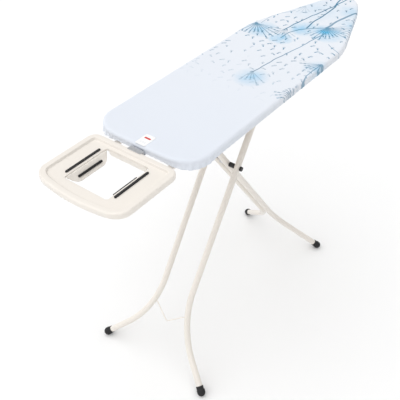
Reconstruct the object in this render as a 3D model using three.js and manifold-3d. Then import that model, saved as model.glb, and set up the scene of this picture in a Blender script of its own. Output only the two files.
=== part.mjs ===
// Folding ironing board with a scissor stand and a fixed iron rest.
// Millimetres, +Z up, +X towards the nose, floor at z = 0, open at its working height.
// Board frame: x = 0 at the board's wide end, y = 0 on its centre line.
// The group shifts it to the part's origin.
import * as THREE from "three";
import { mergeVertices } from "three/addons/utils/BufferGeometryUtils.js";
import Module from "manifold-3d";

const wasm = await Module();
wasm.setup();

// ---------- driving dimensions ----------
const GAP = 0.3; // kept between pieces that touch
const HALF_TURN = Math.PI;

// Board outline
const BOARD_LENGTH = 1240;
const BOARD_WIDTH = 372;
const BOARD_HEIGHT = 960; // top of the cover above the floor
const END_BOW = 8; // the wide end bulges outwards by this
const CORNER_RADIUS = 84;
const NOSE_LENGTH = 452; // the width narrows over this length
const SHOULDER_LENGTH = 245; // first part of the narrowing
const SHOULDER_HALF_WIDTH = 120;
const SHOULDER_SLOPE = 0.33;
const NOSE_FULLNESS = 60; // handle length of the round tip

// Layers of the board, from the top down
const COVER_THICKNESS = 1.2;
const COVER_DEPTH = 23; // how far the cover's side reaches down
const COVER_EDGE_RADIUS = 9;
const HEM_WIDTH = 26; // cover turned in underneath
const PAD_THICKNESS = 7;
const SHEET_THICKNESS = 1.2;
const RIM_WALL = 2;
const RIM_DEPTH = 8;
const DRAWCORD_SIZE = 3;

// Underframe
const MEMBER_WIDTH = 34;
const MEMBER_HEIGHT = 31;
const MEMBER_END_GAP = 4; // from the cover's hem
const PLATE = 2; // sheet metal of the channels and brackets
const WIDE_MEMBER_X = 118;
const RAIL_LEAD = 34; // rail beyond the hinge
const RAIL_TAIL = 50; // rail beyond the folded crossbar
const RAIL_FLANGE = 14;
const ROLLER_RADIUS = 12;
const ROLLER_PLAY = 2.2; // above and below the roller, the open pivot's clearance
const ROLLER_WIDTH = 9;

// Stand
const TUBE_RADIUS = 11;
const TUBE_WALL = 1.5;
const CROSS_X = 398; // the two frames cross here
const CROSS_DROP = 0.2595; // depth of the crossing below the top pivots, as a share of their height
const OUTER_ANGLE = THREE.MathUtils.degToRad(57.4); // leg to floor, feet under the wide end
const INNER_ANGLE = THREE.MathUtils.degToRad(54.25); // leg to floor, feet under the nose
const OUTER_HALF_SPACING = 61.5;
const INNER_HALF_SPACING = 19;
const OUTER_FLARE = { radius: 345, angle: THREE.MathUtils.degToRad(42), foot: 222 };
const INNER_FLARE = { radius: 230, angle: THREE.MathUtils.degToRad(40), foot: 181 };
const TUBE_TOP = 14; // tube beyond its top pivot
const BEND_STEPS = 7;
const CAP_RADIUS = TUBE_RADIUS + 3.5;
const CAP_COLLAR_RADIUS = TUBE_RADIUS + 2;
const CAP_GRIP = 22; // tube length inside the cap
const AXLE_RADIUS = 4;
const SLEEVE_RADIUS = 7;
const CROSSBAR_RADIUS = 8;
const PIN_CLEARANCE = 0.06;
const BUSH_RADIUS = 8.5;
const PIVOT_CAP_RADIUS = 8;
const PIVOT_CAP_DEPTH = 7;
const BRACE_HEIGHT = 46;
const BRACE_STATIONS = [92, 560]; // along the inner frame from its hinge
const SPACER_BLOCK = { from: 176, to: 244 }; // along the inner frame, just above the crossing

// Transport lock wire between the outer legs
const WIRE_RADIUS = 2;
const WIRE_HEIGHT = 191; // its pivots above the floor
const WIRE_DROP = 44; // along the legs
const WIRE_TIP = 10; // flat width of the tip
const WIRE_SIDES = 8;

// Height release
const LEVER_BEHIND = 41.6; // shaft behind the crossbar
const LEVER_ABOVE = 25; // shaft above the crossbar
const LEVER_CLEAR = 19; // shaft to the middle cross member
const LEVER_REACH = 128;
const LEVER_DROP = THREE.MathUtils.degToRad(5); // the lever hangs this far below level
const LEVER_Y = -134;
const LEVER_BAR = 3;
const GRIP = { length: 74, width: 22, thickness: 10 };
const BEARING_Y = [-118, -54];
const SPRING_TURNS = 4;
const SPRING_WIRE = 0.9;
const PAWL_Y = -40;
const PAWL_CLEARANCE = 2.4; // over the crossbar
const RACK_Y = 40;
const RACK_NOTCHES = 9;
const RACK_DEPTH = 6;

// Iron rest
const REST_GAP = 12; // from the board's end to the rest
const REST_LENGTH = 248; // on the centre line
const REST_BOW = 22; // the outer edge bulges outwards by this
const REST_WIDTH = 310;
const REST_DROP = 12; // rim below the top of the cover
const REST_SKIRT = 18;
const REST_CORNER = 34;
const REST_OUTER_CORNER = 50;
const REST_WALL = 1.8;
const REST_RIM = 20;
const REST_STEP = 7; // the floor lies this far below the rim
const WINDOW_MARGIN = { board: 32, outer: 55, side: 78 }; // rest's edges to the window
const WINDOW_FLANGE = 18;
const SLOPE_DEPTH = 27;
const SLOPE_INSET = 23;
const SLOPE_SLANT = 26; // the sloping walls are shorter at the bottom by this at each end
const STRIP_WIDTH = 7;
const STRIP_HEIGHT = 3;
const STRIP_MARGIN = 16; // window's end to the strip's end
const SLOPE_STRIP_MARGIN = 36;
const STRIP_AWAY = 10; // window's side to the strip
const ARM_AWAY = 21; // window's side to the arm
const ARM_WIDTH = 18;
const ARM_THICKNESS = 6;
const ARM_REACH = 190; // how far the arms run under the rest
const TONGUE_WIDTH = 46;
const TONGUE_HOOK = 8; // over the rest's rim
const SCREW_HEAD_RADIUS = 5;
const SCREW_HEAD = 2.6;
const SCREW_RADIUS = 2.5;

// Care label
const LABEL = { x: 28, y: -2, length: 50, width: 35, thickness: 0.6 };

// ---------- materials ----------
function finish(color, roughness, metalness = 0) {
  return new THREE.MeshStandardMaterial({ color, roughness, metalness });
}
const CREAM = "#ded8cf";
const looks = {
  cover: () => finish("#e6edf5", 0.9),
  pad: () => finish("#d9d6cd", 0.95),
  coated: () => finish(CREAM, 0.4, 0.1),
  tray: () => finish("#ece4da", 0.4),
  steel: () => finish("#b4b6b8", 0.35, 0.9),
  black: () => finish("#151515", 0.6),
  label: () => finish("#f4f4f4", 0.8),
  cord: () => finish("#c9ccd2", 0.8),
};

// ---------- helpers ----------
const part = new THREE.Group();

function addPiece(name, geometry, look) {
  const mesh = new THREE.Mesh(geometry, looks[look]());
  mesh.name = name;
  part.add(mesh);
  return mesh;
}

function toSolid(geometry) {
  const bare = geometry.clone();
  bare.deleteAttribute("normal");
  bare.deleteAttribute("uv");
  const merged = mergeVertices(bare, 1e-4);
  return new wasm.Manifold(
    new wasm.Mesh({
      numProp: 3,
      vertProperties: merged.attributes.position.array,
      triVerts: new Uint32Array(merged.index.array),
    }),
  );
}

function toGeometry(solid) {
  const mesh = solid.getMesh();
  const geometry = new THREE.BufferGeometry();
  geometry.setAttribute("position", new THREE.BufferAttribute(mesh.vertProperties, 3));
  geometry.setIndex(new THREE.BufferAttribute(mesh.triVerts, 1));
  return geometry;
}

function join(...geometries) {
  return toGeometry(geometries.map(toSolid).reduce((all, next) => all.add(next)));
}

function cut(geometry, ...tools) {
  return toGeometry(tools.map(toSolid).reduce((left, tool) => left.subtract(tool), toSolid(geometry)));
}

// A box between two corners.
function box(low, high) {
  const size = high.map((value, i) => value - low[i]);
  const middle = high.map((value, i) => (value + low[i]) / 2);
  return new THREE.BoxGeometry(...size).translate(...middle);
}

// A round bar across the board, from y0 to y1.
function crossRod(x, z, radius, y0, y1, sides = 16) {
  return new THREE.CylinderGeometry(radius, radius, y1 - y0, sides).translate(x, (y0 + y1) / 2, z);
}

// The tool for a bore that a pin turns in: the bore's flats clear the pin's corners.
function crossBore(x, z, pin, y0, y1, sides = 16) {
  return crossRod(x, z, (pin + PIN_CLEARANCE) / Math.cos(HALF_TURN / sides), y0, y1, sides);
}

// A tube across the board, bored for a pin.
function crossSleeve(x, z, radius, pin, y0, y1, sides = 16) {
  return cut(crossRod(x, z, radius, y0, y1, sides), crossBore(x, z, pin, y0 - 1, y1 + 1));
}

// An upright bar from z0 to z1.
function post(x, y, radius, z0, z1, sides = 12) {
  return new THREE.CylinderGeometry(radius, radius, z1 - z0, sides)
    .rotateX(HALF_TURN / 2)
    .translate(x, y, (z0 + z1) / 2);
}

// A slab of an outline in the board's plane, between two heights.
function slab(points, z0, z1, holes = []) {
  const shape = new THREE.Shape(points);
  shape.holes = holes.map((hole) => new THREE.Path(hole));
  return new THREE.ExtrudeGeometry(shape, { depth: z1 - z0, bevelEnabled: false }).translate(0, 0, z0);
}

// A flat ring just inside an outline.
function ring(points, width, z0, z1) {
  return cut(slab(points, z0, z1), slab(inset(points, width), z0 - 1, z1 + 1));
}

// The same slab with rounded edges, inside the outline.
function roundedSlab(points, z0, z1, radius, segments) {
  return new THREE.ExtrudeGeometry(new THREE.Shape(points), {
    depth: z1 - z0 - 2 * radius,
    bevelSize: radius,
    bevelOffset: -radius,
    bevelThickness: radius,
    bevelSegments: segments,
  }).translate(0, 0, z0 + radius);
}

// A profile drawn in the x-z plane, given thickness from y0 to y1.
function crossPlate(points, y0, y1) {
  return new THREE.ExtrudeGeometry(new THREE.Shape(points), { depth: y1 - y0, bevelEnabled: false })
    .rotateX(HALF_TURN / 2)
    .translate(0, y1, 0);
}

// A profile drawn in the y-z plane, given thickness from x0 to x1.
function lengthPlate(points, x0, x1) {
  return new THREE.ExtrudeGeometry(new THREE.Shape(points), { depth: x1 - x0, bevelEnabled: false })
    .rotateX(HALF_TURN / 2)
    .rotateZ(HALF_TURN / 2)
    .translate(x0, 0, 0);
}

const at = (x, y) => new THREE.Vector2(x, y);

// Moves a closed outline inwards along its normals.
function inset(points, distance) {
  const count = points.length;
  const centre = points.reduce((sum, p) => sum.add(p), at(0, 0)).divideScalar(count);
  return points.map((point, i) => {
    const along = points[(i + 1) % count].clone().sub(points[(i + count - 1) % count]);
    const normal = at(-along.y, along.x).normalize();
    const side = Math.sign(normal.dot(centre.clone().sub(point))) || 1;
    return point.clone().addScaledVector(normal, side * distance);
  });
}

// Drops a repeated end point, so that an outline has no zero-length edge.
function closed(points) {
  const kept = points.filter((p, i) => i === 0 || p.distanceTo(points[i - 1]) > 0.05);
  return kept[0].distanceTo(kept[kept.length - 1]) < 0.05 ? kept.slice(0, -1) : kept;
}

// ---------- board ----------
function boardOutline() {
  const w = BOARD_WIDTH / 2;
  const r = CORNER_RADIUS;
  const taper = BOARD_LENGTH - NOSE_LENGTH;
  const shoulder = taper + SHOULDER_LENGTH;
  const tip = BOARD_LENGTH - shoulder;
  const bow = END_BOW * ((w - r) / w) ** 2;
  const half = new THREE.Path();
  half.moveTo(0, 0);
  half.quadraticCurveTo(0, (w - r) / 2, bow, w - r);
  half.bezierCurveTo(bow + 4, w - 0.45 * r, bow + 0.45 * r, w, bow + r, w);
  half.lineTo(taper, w);
  half.bezierCurveTo(
    taper + 0.28 * SHOULDER_LENGTH,
    w,
    shoulder - 0.36 * SHOULDER_LENGTH,
    SHOULDER_HALF_WIDTH + 0.36 * SHOULDER_LENGTH * SHOULDER_SLOPE,
    shoulder,
    SHOULDER_HALF_WIDTH,
  );
  half.bezierCurveTo(
    shoulder + 0.45 * tip,
    SHOULDER_HALF_WIDTH - 0.45 * tip * SHOULDER_SLOPE,
    BOARD_LENGTH,
    NOSE_FULLNESS,
    BOARD_LENGTH,
    0,
  );
  const upper = closed(half.getPoints(7));
  const lower = upper.slice(1, -1).reverse().map((p) => at(p.x, -p.y));
  return closed([...upper, ...lower]);
}

const outline = boardOutline();
const coverInside = BOARD_HEIGHT - COVER_THICKNESS;
const sheetTop = coverInside - GAP - PAD_THICKNESS - GAP;
const sheetBottom = sheetTop - SHEET_THICKNESS;
const coverBottom = BOARD_HEIGHT - COVER_DEPTH;
const memberTop = sheetBottom - GAP;
const memberBottom = memberTop - MEMBER_HEIGHT;

function makeCover() {
  const outside = roundedSlab(outline, coverBottom, BOARD_HEIGHT, COVER_EDGE_RADIUS, 3);
  const inside = roundedSlab(
    inset(outline, COVER_THICKNESS),
    coverBottom + COVER_THICKNESS,
    coverInside,
    COVER_EDGE_RADIUS - COVER_THICKNESS,
    3,
  );
  const opening = slab(inset(outline, HEM_WIDTH), coverBottom - 1, coverBottom + COVER_EDGE_RADIUS);
  addPiece("cotton_cover", cut(outside, inside, opening), "cover");
}

function makePad() {
  const edge = inset(outline, COVER_EDGE_RADIUS - 2);
  addPiece("foam_underlay", roundedSlab(edge, sheetTop + GAP, coverInside - GAP, 3, 1), "pad");
}

// Steel top with diamond openings in staggered rows, as on expanded metal.
function makeSheet() {
  const edge = inset(outline, COVER_THICKNESS + 3);
  const clear = new THREE.Shape(inset(edge, 24)).getPoints();
  const long = 34;
  const wide = 15;
  const pitchX = 96;
  const pitchY = 23;
  const holes = [];
  for (let row = -7; row <= 7; row += 1) {
    for (let column = 0; column < BOARD_LENGTH / pitchX; column += 1) {
      const x = (column + (row % 2 ? 0.5 : 1)) * pitchX;
      const corners = [at(x - long, 0), at(x, -wide / 2), at(x + long, 0), at(x, wide / 2)];
      const hole = corners.map((p) => at(p.x, p.y + row * pitchY));
      if (hole.every((p) => insideOutline(p, clear))) holes.push(hole);
    }
  }
  addPiece("mesh_top", slab(edge, sheetBottom, sheetTop, holes), "coated");
}

function insideOutline(point, points) {
  let inside = false;
  points.forEach((a, i) => {
    const b = points[(i + 1) % points.length];
    const crosses = a.y > point.y !== b.y > point.y;
    if (crosses && point.x < ((b.x - a.x) * (point.y - a.y)) / (b.y - a.y) + a.x) inside = !inside;
  });
  return inside;
}

function makeRim() {
  const outer = inset(outline, COVER_THICKNESS + 3);
  addPiece("edge_rim", ring(outer, RIM_WALL, memberTop - RIM_DEPTH, memberTop), "coated");
}

function makeDrawcord() {
  const outer = inset(outline, HEM_WIDTH - 2 * DRAWCORD_SIZE);
  const bottom = coverBottom + COVER_THICKNESS + GAP;
  addPiece("cover_drawcord", ring(outer, DRAWCORD_SIZE, bottom, bottom + DRAWCORD_SIZE), "cord");
}

function makeLabel() {
  const low = [LABEL.x - LABEL.length / 2, LABEL.y - LABEL.width / 2, BOARD_HEIGHT + GAP];
  const high = [LABEL.x + LABEL.length / 2, LABEL.y + LABEL.width / 2, BOARD_HEIGHT + GAP + LABEL.thickness];
  addPiece("care_label", box(low, high), "label");
}

// ---------- pivots ----------
const topPivotHeight = memberBottom - GAP - PLATE - ROLLER_PLAY - ROLLER_RADIUS;
const rise = CROSS_DROP * topPivotHeight;
const cross = new THREE.Vector3(CROSS_X, 0, topPivotHeight - rise);
const topPivotOuter = new THREE.Vector3(CROSS_X + rise / Math.tan(OUTER_ANGLE), 0, topPivotHeight);
const topPivotInner = new THREE.Vector3(CROSS_X - rise / Math.tan(INNER_ANGLE), 0, topPivotHeight);
const outerDown = new THREE.Vector3(-Math.cos(OUTER_ANGLE), 0, -Math.sin(OUTER_ANGLE));
const innerDown = new THREE.Vector3(Math.cos(INNER_ANGLE), 0, -Math.sin(INNER_ANGLE));
// Where the crossbar ends up when both frames lie along the board.
const foldedCrossbarX = topPivotInner.x + rise / Math.sin(INNER_ANGLE) + rise / Math.sin(OUTER_ANGLE);
const leverX = topPivotOuter.x - LEVER_BEHIND;
const leverHeight = topPivotHeight + LEVER_ABOVE;

// ---------- underframe ----------
const railStart = topPivotInner.x - RAIL_LEAD;
const railEnd = foldedCrossbarX + RAIL_TAIL;
const railInnerTop = topPivotHeight + ROLLER_RADIUS + ROLLER_PLAY;
const railInnerBottom = topPivotHeight - ROLLER_RADIUS - ROLLER_PLAY;
// The rails' open sides stay clear of the pivot caps, which fold up between them.
const railMouth = OUTER_HALF_SPACING + TUBE_RADIUS + GAP + PIVOT_CAP_DEPTH + 1;
const railWeb = railMouth + RAIL_FLANGE;
const middleMemberX = leverX - MEMBER_WIDTH / 2 - LEVER_CLEAR;
const noseMemberX = railEnd - MEMBER_WIDTH / 2;
const armY = REST_WIDTH / 2 - WINDOW_MARGIN.side + ARM_AWAY;

// Half the board's width at a distance from its wide end.
function halfWidthAt(x) {
  const next = outline.findIndex((p, i) => i > 0 && p.x >= x && outline[i - 1].y > 0);
  const [a, b] = [outline[next - 1], outline[next]];
  return a.y + ((b.y - a.y) * (x - a.x)) / (b.x - a.x);
}

function makeCrossMember(name, x) {
  const ends = [x - MEMBER_WIDTH / 2, x + MEMBER_WIDTH / 2];
  const halfLength = Math.min(...ends.map(halfWidthAt)) - HEM_WIDTH - MEMBER_END_GAP;
  const body = box([ends[0], -halfLength, memberBottom], [ends[1], halfLength, memberTop]);
  const hollow = box(
    [ends[0] + PLATE, -halfLength - 1, memberBottom + PLATE],
    [ends[1] - PLATE, halfLength + 1, memberTop + 1],
  );
  const bores = x === WIDE_MEMBER_X ? screwBores(memberBottom - 1, memberBottom + PLATE + 1) : [];
  addPiece(name, cut(body, hollow, ...bores), "coated");
}

// C-section rail, open towards the centre line. side is +1 on the left, -1 on the right.
function makeRail(name, side) {
  const top = railInnerTop + PLATE;
  const bottom = railInnerBottom - PLATE;
  const profile = [
    at(railMouth, railInnerTop),
    at(railMouth, top),
    at(railWeb + PLATE, top),
    at(railWeb + PLATE, bottom),
    at(railMouth, bottom),
    at(railMouth, railInnerBottom),
    at(railWeb, railInnerBottom),
    at(railWeb, railInnerTop),
  ].map((p) => at(side * p.x, p.y));
  const rail = lengthPlate(profile, railStart, railEnd);
  const reach = railWeb + 4 * PLATE;
  const hole = crossBore(topPivotInner.x, topPivotInner.z, AXLE_RADIUS, -reach, reach);
  addPiece(name, cut(rail, hole), "coated");
}

// ---------- stand ----------
// Where a leg bends outwards, measured along the leg from its top pivot.
function flareStations(spacing, flare, length) {
  const run = flare.radius * Math.sin(flare.angle);
  const out = flare.radius * (1 - Math.cos(flare.angle));
  const lastRun = (flare.foot - spacing - out) / Math.tan(flare.angle);
  return { bendStart: length - lastRun - run, bendEnd: length - lastRun };
}

// Half the distance between a pair's centre lines, at a place in the bend.
function spacingInBend(spacing, flare, length, along) {
  const turn = Math.asin((along - flareStations(spacing, flare, length).bendStart) / flare.radius);
  return spacing + flare.radius * (1 - Math.cos(turn));
}

// Centre line of a leg: straight, one bend outwards in the leg's own plane, straight to the foot.
class LegLine extends THREE.Curve {
  constructor(top, down, side, spacing, flare, length) {
    super();
    const { bendStart } = flareStations(spacing, flare, length);
    const stations = [[-TUBE_TOP, 0], [bendStart / 2, 0], [bendStart, 0]];
    for (let i = 1; i <= BEND_STEPS; i += 1) {
      const turn = (flare.angle * i) / BEND_STEPS;
      stations.push([bendStart + flare.radius * Math.sin(turn), flare.radius * (1 - Math.cos(turn))]);
    }
    stations.push([length, flare.foot - spacing]);
    this.points = stations.map(([along, sideways]) =>
      top.clone().addScaledVector(down, along).add(new THREE.Vector3(0, side * (spacing + sideways), 0)),
    );
  }

  getPoint(t) {
    const spans = this.points.length - 1;
    const span = Math.min(Math.floor(t * spans), spans - 1);
    return this.points[span].clone().lerp(this.points[span + 1], t * spans - span);
  }

  // Steps go from corner to corner, so that straight lengths cost few faces.
  getPointAt(t) {
    return this.getPoint(t);
  }

  getTangent(t) {
    const small = 1e-4;
    const before = this.getPoint(Math.max(t - small, 0));
    return this.getPoint(Math.min(t + small, 1)).sub(before).normalize();
  }

  getTangentAt(t) {
    return this.getTangent(t);
  }

  end() {
    return this.points[this.points.length - 1];
  }

  endDirection() {
    return this.end().clone().sub(this.points[this.points.length - 2]).normalize();
  }
}

function disc(radius, sides) {
  const points = [];
  for (let i = 0; i < sides; i += 1) {
    const turn = (2 * HALF_TURN * i) / sides;
    points.push(at(radius * Math.cos(turn), radius * Math.sin(turn)));
  }
  return points;
}

function sweep(curve, radius, sides, steps, bore = 0) {
  const section = new THREE.Shape(disc(radius, sides));
  if (bore > 0) section.holes.push(new THREE.Path(disc(bore, sides)));
  return new THREE.ExtrudeGeometry(section, { steps, extrudePath: curve, bevelEnabled: false });
}

// Foot centre above the floor: the round end of the cap rests on it.
function legLength(top, down) {
  return (CAP_RADIUS - top.z) / down.z;
}

const OUTER_LENGTH = legLength(topPivotOuter, outerDown);
const INNER_LENGTH = legLength(topPivotInner, innerDown);

function legLine(outer, side) {
  return outer
    ? new LegLine(topPivotOuter, outerDown, side, OUTER_HALF_SPACING, OUTER_FLARE, OUTER_LENGTH)
    : new LegLine(topPivotInner, innerDown, side, INNER_HALF_SPACING, INNER_FLARE, INNER_LENGTH);
}

function makeLeg(name, outer, side) {
  const line = legLine(outer, side);
  const tube = sweep(line, TUBE_RADIUS, 12, line.points.length - 1, TUBE_RADIUS - TUBE_WALL);
  const y = side * (outer ? OUTER_HALF_SPACING : INNER_HALF_SPACING);
  const top = outer ? topPivotOuter : topPivotInner;
  const topPin = outer ? CROSSBAR_RADIUS : AXLE_RADIUS;
  const reach = TUBE_RADIUS + 2;
  const tools = [
    crossBore(cross.x, cross.z, AXLE_RADIUS, y - reach, y + reach),
    crossBore(top.x, top.z, topPin, y - reach, y + reach),
  ];
  if (outer) {
    const ends = [wireSpacing - 2 * reach, wireSpacing + 2 * reach].map((end) => side * end);
    const [low, high] = [Math.min(...ends), Math.max(...ends)];
    tools.push(crossBore(wirePivot.x, wirePivot.z, WIRE_RADIUS, low, high, WIRE_SIDES));
  }
  addPiece(name, cut(tube, ...tools), "coated");
}

// Rubber cap: a collar round the tube's end and a round nose that meets the floor.
function makeFootCap(name, outer, side) {
  const line = legLine(outer, side);
  const profile = [at(0, CAP_RADIUS)];
  for (let i = 1; i <= 5; i += 1) {
    const turn = (i * HALF_TURN) / 10;
    profile.push(at(CAP_RADIUS * Math.sin(turn), CAP_RADIUS * Math.cos(turn)));
  }
  profile.push(at(CAP_RADIUS, -8), at(CAP_COLLAR_RADIUS, -10), at(CAP_COLLAR_RADIUS, -CAP_GRIP));
  profile.push(at(TUBE_RADIUS + GAP, -CAP_GRIP), at(TUBE_RADIUS + GAP, GAP), at(0, GAP));
  const geometry = new THREE.LatheGeometry(profile.reverse(), 16);
  const turn = new THREE.Quaternion().setFromUnitVectors(new THREE.Vector3(0, 1, 0), line.endDirection());
  geometry.applyQuaternion(turn);
  geometry.translate(...line.end().toArray());
  addPiece(name, geometry, "black");
}

const wireAlong = (topPivotHeight - WIRE_HEIGHT) / Math.sin(OUTER_ANGLE);
const wirePivot = topPivotOuter.clone().addScaledVector(outerDown, wireAlong);
const wireSpacing = spacingInBend(OUTER_HALF_SPACING, OUTER_FLARE, OUTER_LENGTH, wireAlong);

// ---------- scissor pivot ----------
function makeScissorPivot() {
  const outerFace = OUTER_HALF_SPACING + TUBE_RADIUS;
  const end = outerFace + GAP + PIVOT_CAP_DEPTH;
  addPiece("scissor_axle", crossRod(cross.x, cross.z, AXLE_RADIUS, -end + 2.5, end - 2.5), "steel");
  const inner = INNER_HALF_SPACING - TUBE_RADIUS - GAP;
  addPiece("axle_sleeve", crossSleeve(cross.x, cross.z, SLEEVE_RADIUS, AXLE_RADIUS, -inner, inner), "steel");
  [1, -1].forEach((side) => {
    const word = side > 0 ? "left" : "right";
    const from = INNER_HALF_SPACING + TUBE_RADIUS + GAP;
    const to = OUTER_HALF_SPACING - TUBE_RADIUS - GAP;
    const ends = side > 0 ? [from, to] : [-to, -from];
    addPiece(`pivot_bush_${word}`, crossSleeve(cross.x, cross.z, BUSH_RADIUS, AXLE_RADIUS, ...ends), "black");
    const capEnds = side > 0 ? [outerFace + GAP, end] : [-end, -outerFace - GAP];
    const cap = crossRod(cross.x, cross.z, PIVOT_CAP_RADIUS, ...capEnds);
    const pocket = side > 0 ? [outerFace, end - 2.2] : [-end + 2.2, -outerFace];
    const hollow = crossBore(cross.x, cross.z, AXLE_RADIUS, ...pocket);
    addPiece(`pivot_cap_${word}`, cut(cap, hollow), "black");
  });
}

// ---------- inner frame ----------
// A block between the two inner tubes, hollowed to fit against them. along is measured from the hinge.
function betweenInnerTubes(name, along, length, thickness, look) {
  const middle = topPivotInner.clone().addScaledVector(innerDown, along);
  const scallop = TUBE_RADIUS + GAP;
  const tool = (side) =>
    new THREE.CylinderGeometry(scallop, scallop, length + 2, 12)
      .rotateZ(HALF_TURN / 2)
      .translate(0, side * INNER_HALF_SPACING, 0);
  const block = new THREE.BoxGeometry(length, 2 * (INNER_HALF_SPACING - GAP), thickness);
  const geometry = cut(block, tool(1), tool(-1));
  geometry.rotateY(INNER_ANGLE);
  geometry.translate(...middle.toArray());
  addPiece(name, geometry, look);
}

function makeHingeAxle() {
  const { x, z } = topPivotInner;
  const tubeFace = INNER_HALF_SPACING + TUBE_RADIUS + GAP;
  addPiece("hinge_axle", crossRod(x, z, AXLE_RADIUS, -railWeb - PLATE - 5, railWeb + PLATE + 5), "steel");
  const half = INNER_HALF_SPACING - TUBE_RADIUS - GAP;
  addPiece("hinge_sleeve", crossSleeve(x, z, SLEEVE_RADIUS, AXLE_RADIUS, -half, half), "steel");
  [1, -1].forEach((side) => {
    const word = side > 0 ? "left" : "right";
    const ends = [tubeFace, railWeb - GAP].map((y) => side * y).sort((a, b) => a - b);
    addPiece(`hinge_spacer_${word}`, crossSleeve(x, z, SLEEVE_RADIUS, AXLE_RADIUS, ...ends), "black");
    const nut = [railWeb + PLATE + GAP, railWeb + PLATE + 4].map((y) => side * y).sort((a, b) => a - b);
    addPiece(`axle_clip_${word}`, crossSleeve(x, z, 2 * AXLE_RADIUS, AXLE_RADIUS, ...nut, 6), "steel");
  });
}

// ---------- outer frame ----------
function makeCrossbar() {
  const { x, z } = topPivotOuter;
  const reach = railWeb - 2;
  addPiece("height_crossbar", crossRod(x, z, CROSSBAR_RADIUS, -reach, reach), "coated");
  [1, -1].forEach((side) => {
    const word = side > 0 ? "left" : "right";
    const ends = [reach - ROLLER_WIDTH, reach].map((y) => side * y).sort((a, b) => a - b);
    const roller = crossSleeve(x, z, ROLLER_RADIUS, CROSSBAR_RADIUS, ...ends, 20);
    addPiece(`rail_roller_${word}`, roller, "black");
  });
}

// ---------- transport lock wire ----------
function makeWire() {
  const inside = wireSpacing - TUBE_RADIUS - 5;
  const pin = wireSpacing + 2;
  const point = (y, along) => wirePivot.clone().addScaledVector(outerDown, along).setY(y);
  const half = [point(-pin, 0), point(-inside, 0), point(-WIRE_TIP / 2, WIRE_DROP)];
  const corners = [...half, ...half.map((p) => p.clone().setY(-p.y)).reverse()];
  const rods = corners.slice(1).map((p, i) => rodBetween(corners[i], p, WIRE_RADIUS, WIRE_SIDES));
  const bends = corners.slice(1, -1).map((p) => ball(p, WIRE_RADIUS));
  addPiece("transport_wire", join(...rods, ...bends), "coated");
}

function rodBetween(from, to, radius, sides) {
  const length = from.distanceTo(to);
  const up = new THREE.Vector3(0, 1, 0);
  const turn = new THREE.Quaternion().setFromUnitVectors(up, to.clone().sub(from).normalize());
  return new THREE.CylinderGeometry(radius, radius, length, sides)
    .applyQuaternion(turn)
    .translate(...from.clone().add(to).multiplyScalar(0.5).toArray());
}

function ball(centre, radius) {
  return new THREE.SphereGeometry(radius, 8, 6).translate(...centre.toArray());
}

// ---------- height release ----------
// Toothed plate hung between two cross members, clear above the crossbar's travel.
function makeHeightRack() {
  const start = middleMemberX + MEMBER_WIDTH / 2 + GAP;
  const end = noseMemberX - MEMBER_WIDTH / 2 - GAP;
  const tip = topPivotHeight + CROSSBAR_RADIUS + PAWL_CLEARANCE;
  const pitch = (foldedCrossbarX - topPivotOuter.x) / RACK_NOTCHES;
  const profile = [at(start, memberTop - GAP), at(start, tip)];
  for (let i = 0; i < RACK_NOTCHES; i += 1) {
    const x = topPivotOuter.x + (i + 0.5) * pitch;
    const [wide, narrow, root] = [0.4 * pitch, 0.25 * pitch, tip + RACK_DEPTH];
    profile.push(at(x - wide, tip), at(x - narrow, root), at(x + narrow, root), at(x + wide, tip));
  }
  profile.push(at(end, tip), at(end, memberTop - GAP));
  addPiece("height_rack", crossPlate(profile, RACK_Y - PLATE / 2, RACK_Y + PLATE / 2), "steel");
}

// Places a piece drawn round the lever's shaft, in the lever's hanging position.
function onLever(geometry) {
  return geometry.rotateY(LEVER_DROP).translate(leverX, 0, leverHeight);
}

// A flat bar with a round eye on the shaft, drawn from the shaft's centre along +X.
function eyeBar(length, height, eye, y) {
  const bar = box([0, y - LEVER_BAR / 2, -height / 2], [length, y + LEVER_BAR / 2, height / 2]);
  const round = crossRod(0, 0, eye, y - LEVER_BAR / 2, y + LEVER_BAR / 2);
  const bore = crossBore(0, 0, AXLE_RADIUS, y - LEVER_BAR, y + LEVER_BAR);
  return cut(join(bar, round), bore);
}

function makeRelease() {
  const shaft = crossRod(leverX, leverHeight, AXLE_RADIUS, LEVER_Y - LEVER_BAR, PAWL_Y + LEVER_BAR);
  addPiece("lever_shaft", shaft, "steel");

  addPiece("release_lever", onLever(eyeBar(LEVER_REACH, 12, 9, LEVER_Y)), "coated");
  const halfWidth = GRIP.width / 2;
  const halfThickness = GRIP.thickness / 2 + 3;
  const gripStart = LEVER_REACH - GRIP.length + 6;
  const gripOutline = new THREE.Shape()
    .moveTo(gripStart, -halfWidth)
    .lineTo(gripStart + GRIP.length - halfWidth, -halfWidth)
    .absarc(gripStart + GRIP.length - halfWidth, 0, halfWidth, -HALF_TURN / 2, HALF_TURN / 2)
    .lineTo(gripStart, halfWidth)
    .getPoints(6);
  const grip = roundedSlab(closed(gripOutline), -halfThickness, halfThickness, 3, 2).translate(0, LEVER_Y, 0);
  const half = LEVER_BAR / 2 + GAP;
  const socket = box([0, LEVER_Y - half, -6 - GAP], [LEVER_REACH + GAP, LEVER_Y + half, 6 + GAP]);
  addPiece("lever_grip", onLever(cut(grip, socket)), "black");

  makePawl();
  BEARING_Y.forEach((y, i) => makeBearing(`lever_bearing_${["outer", "inner"][i]}`, y));
  makeSpring();
}

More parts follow.
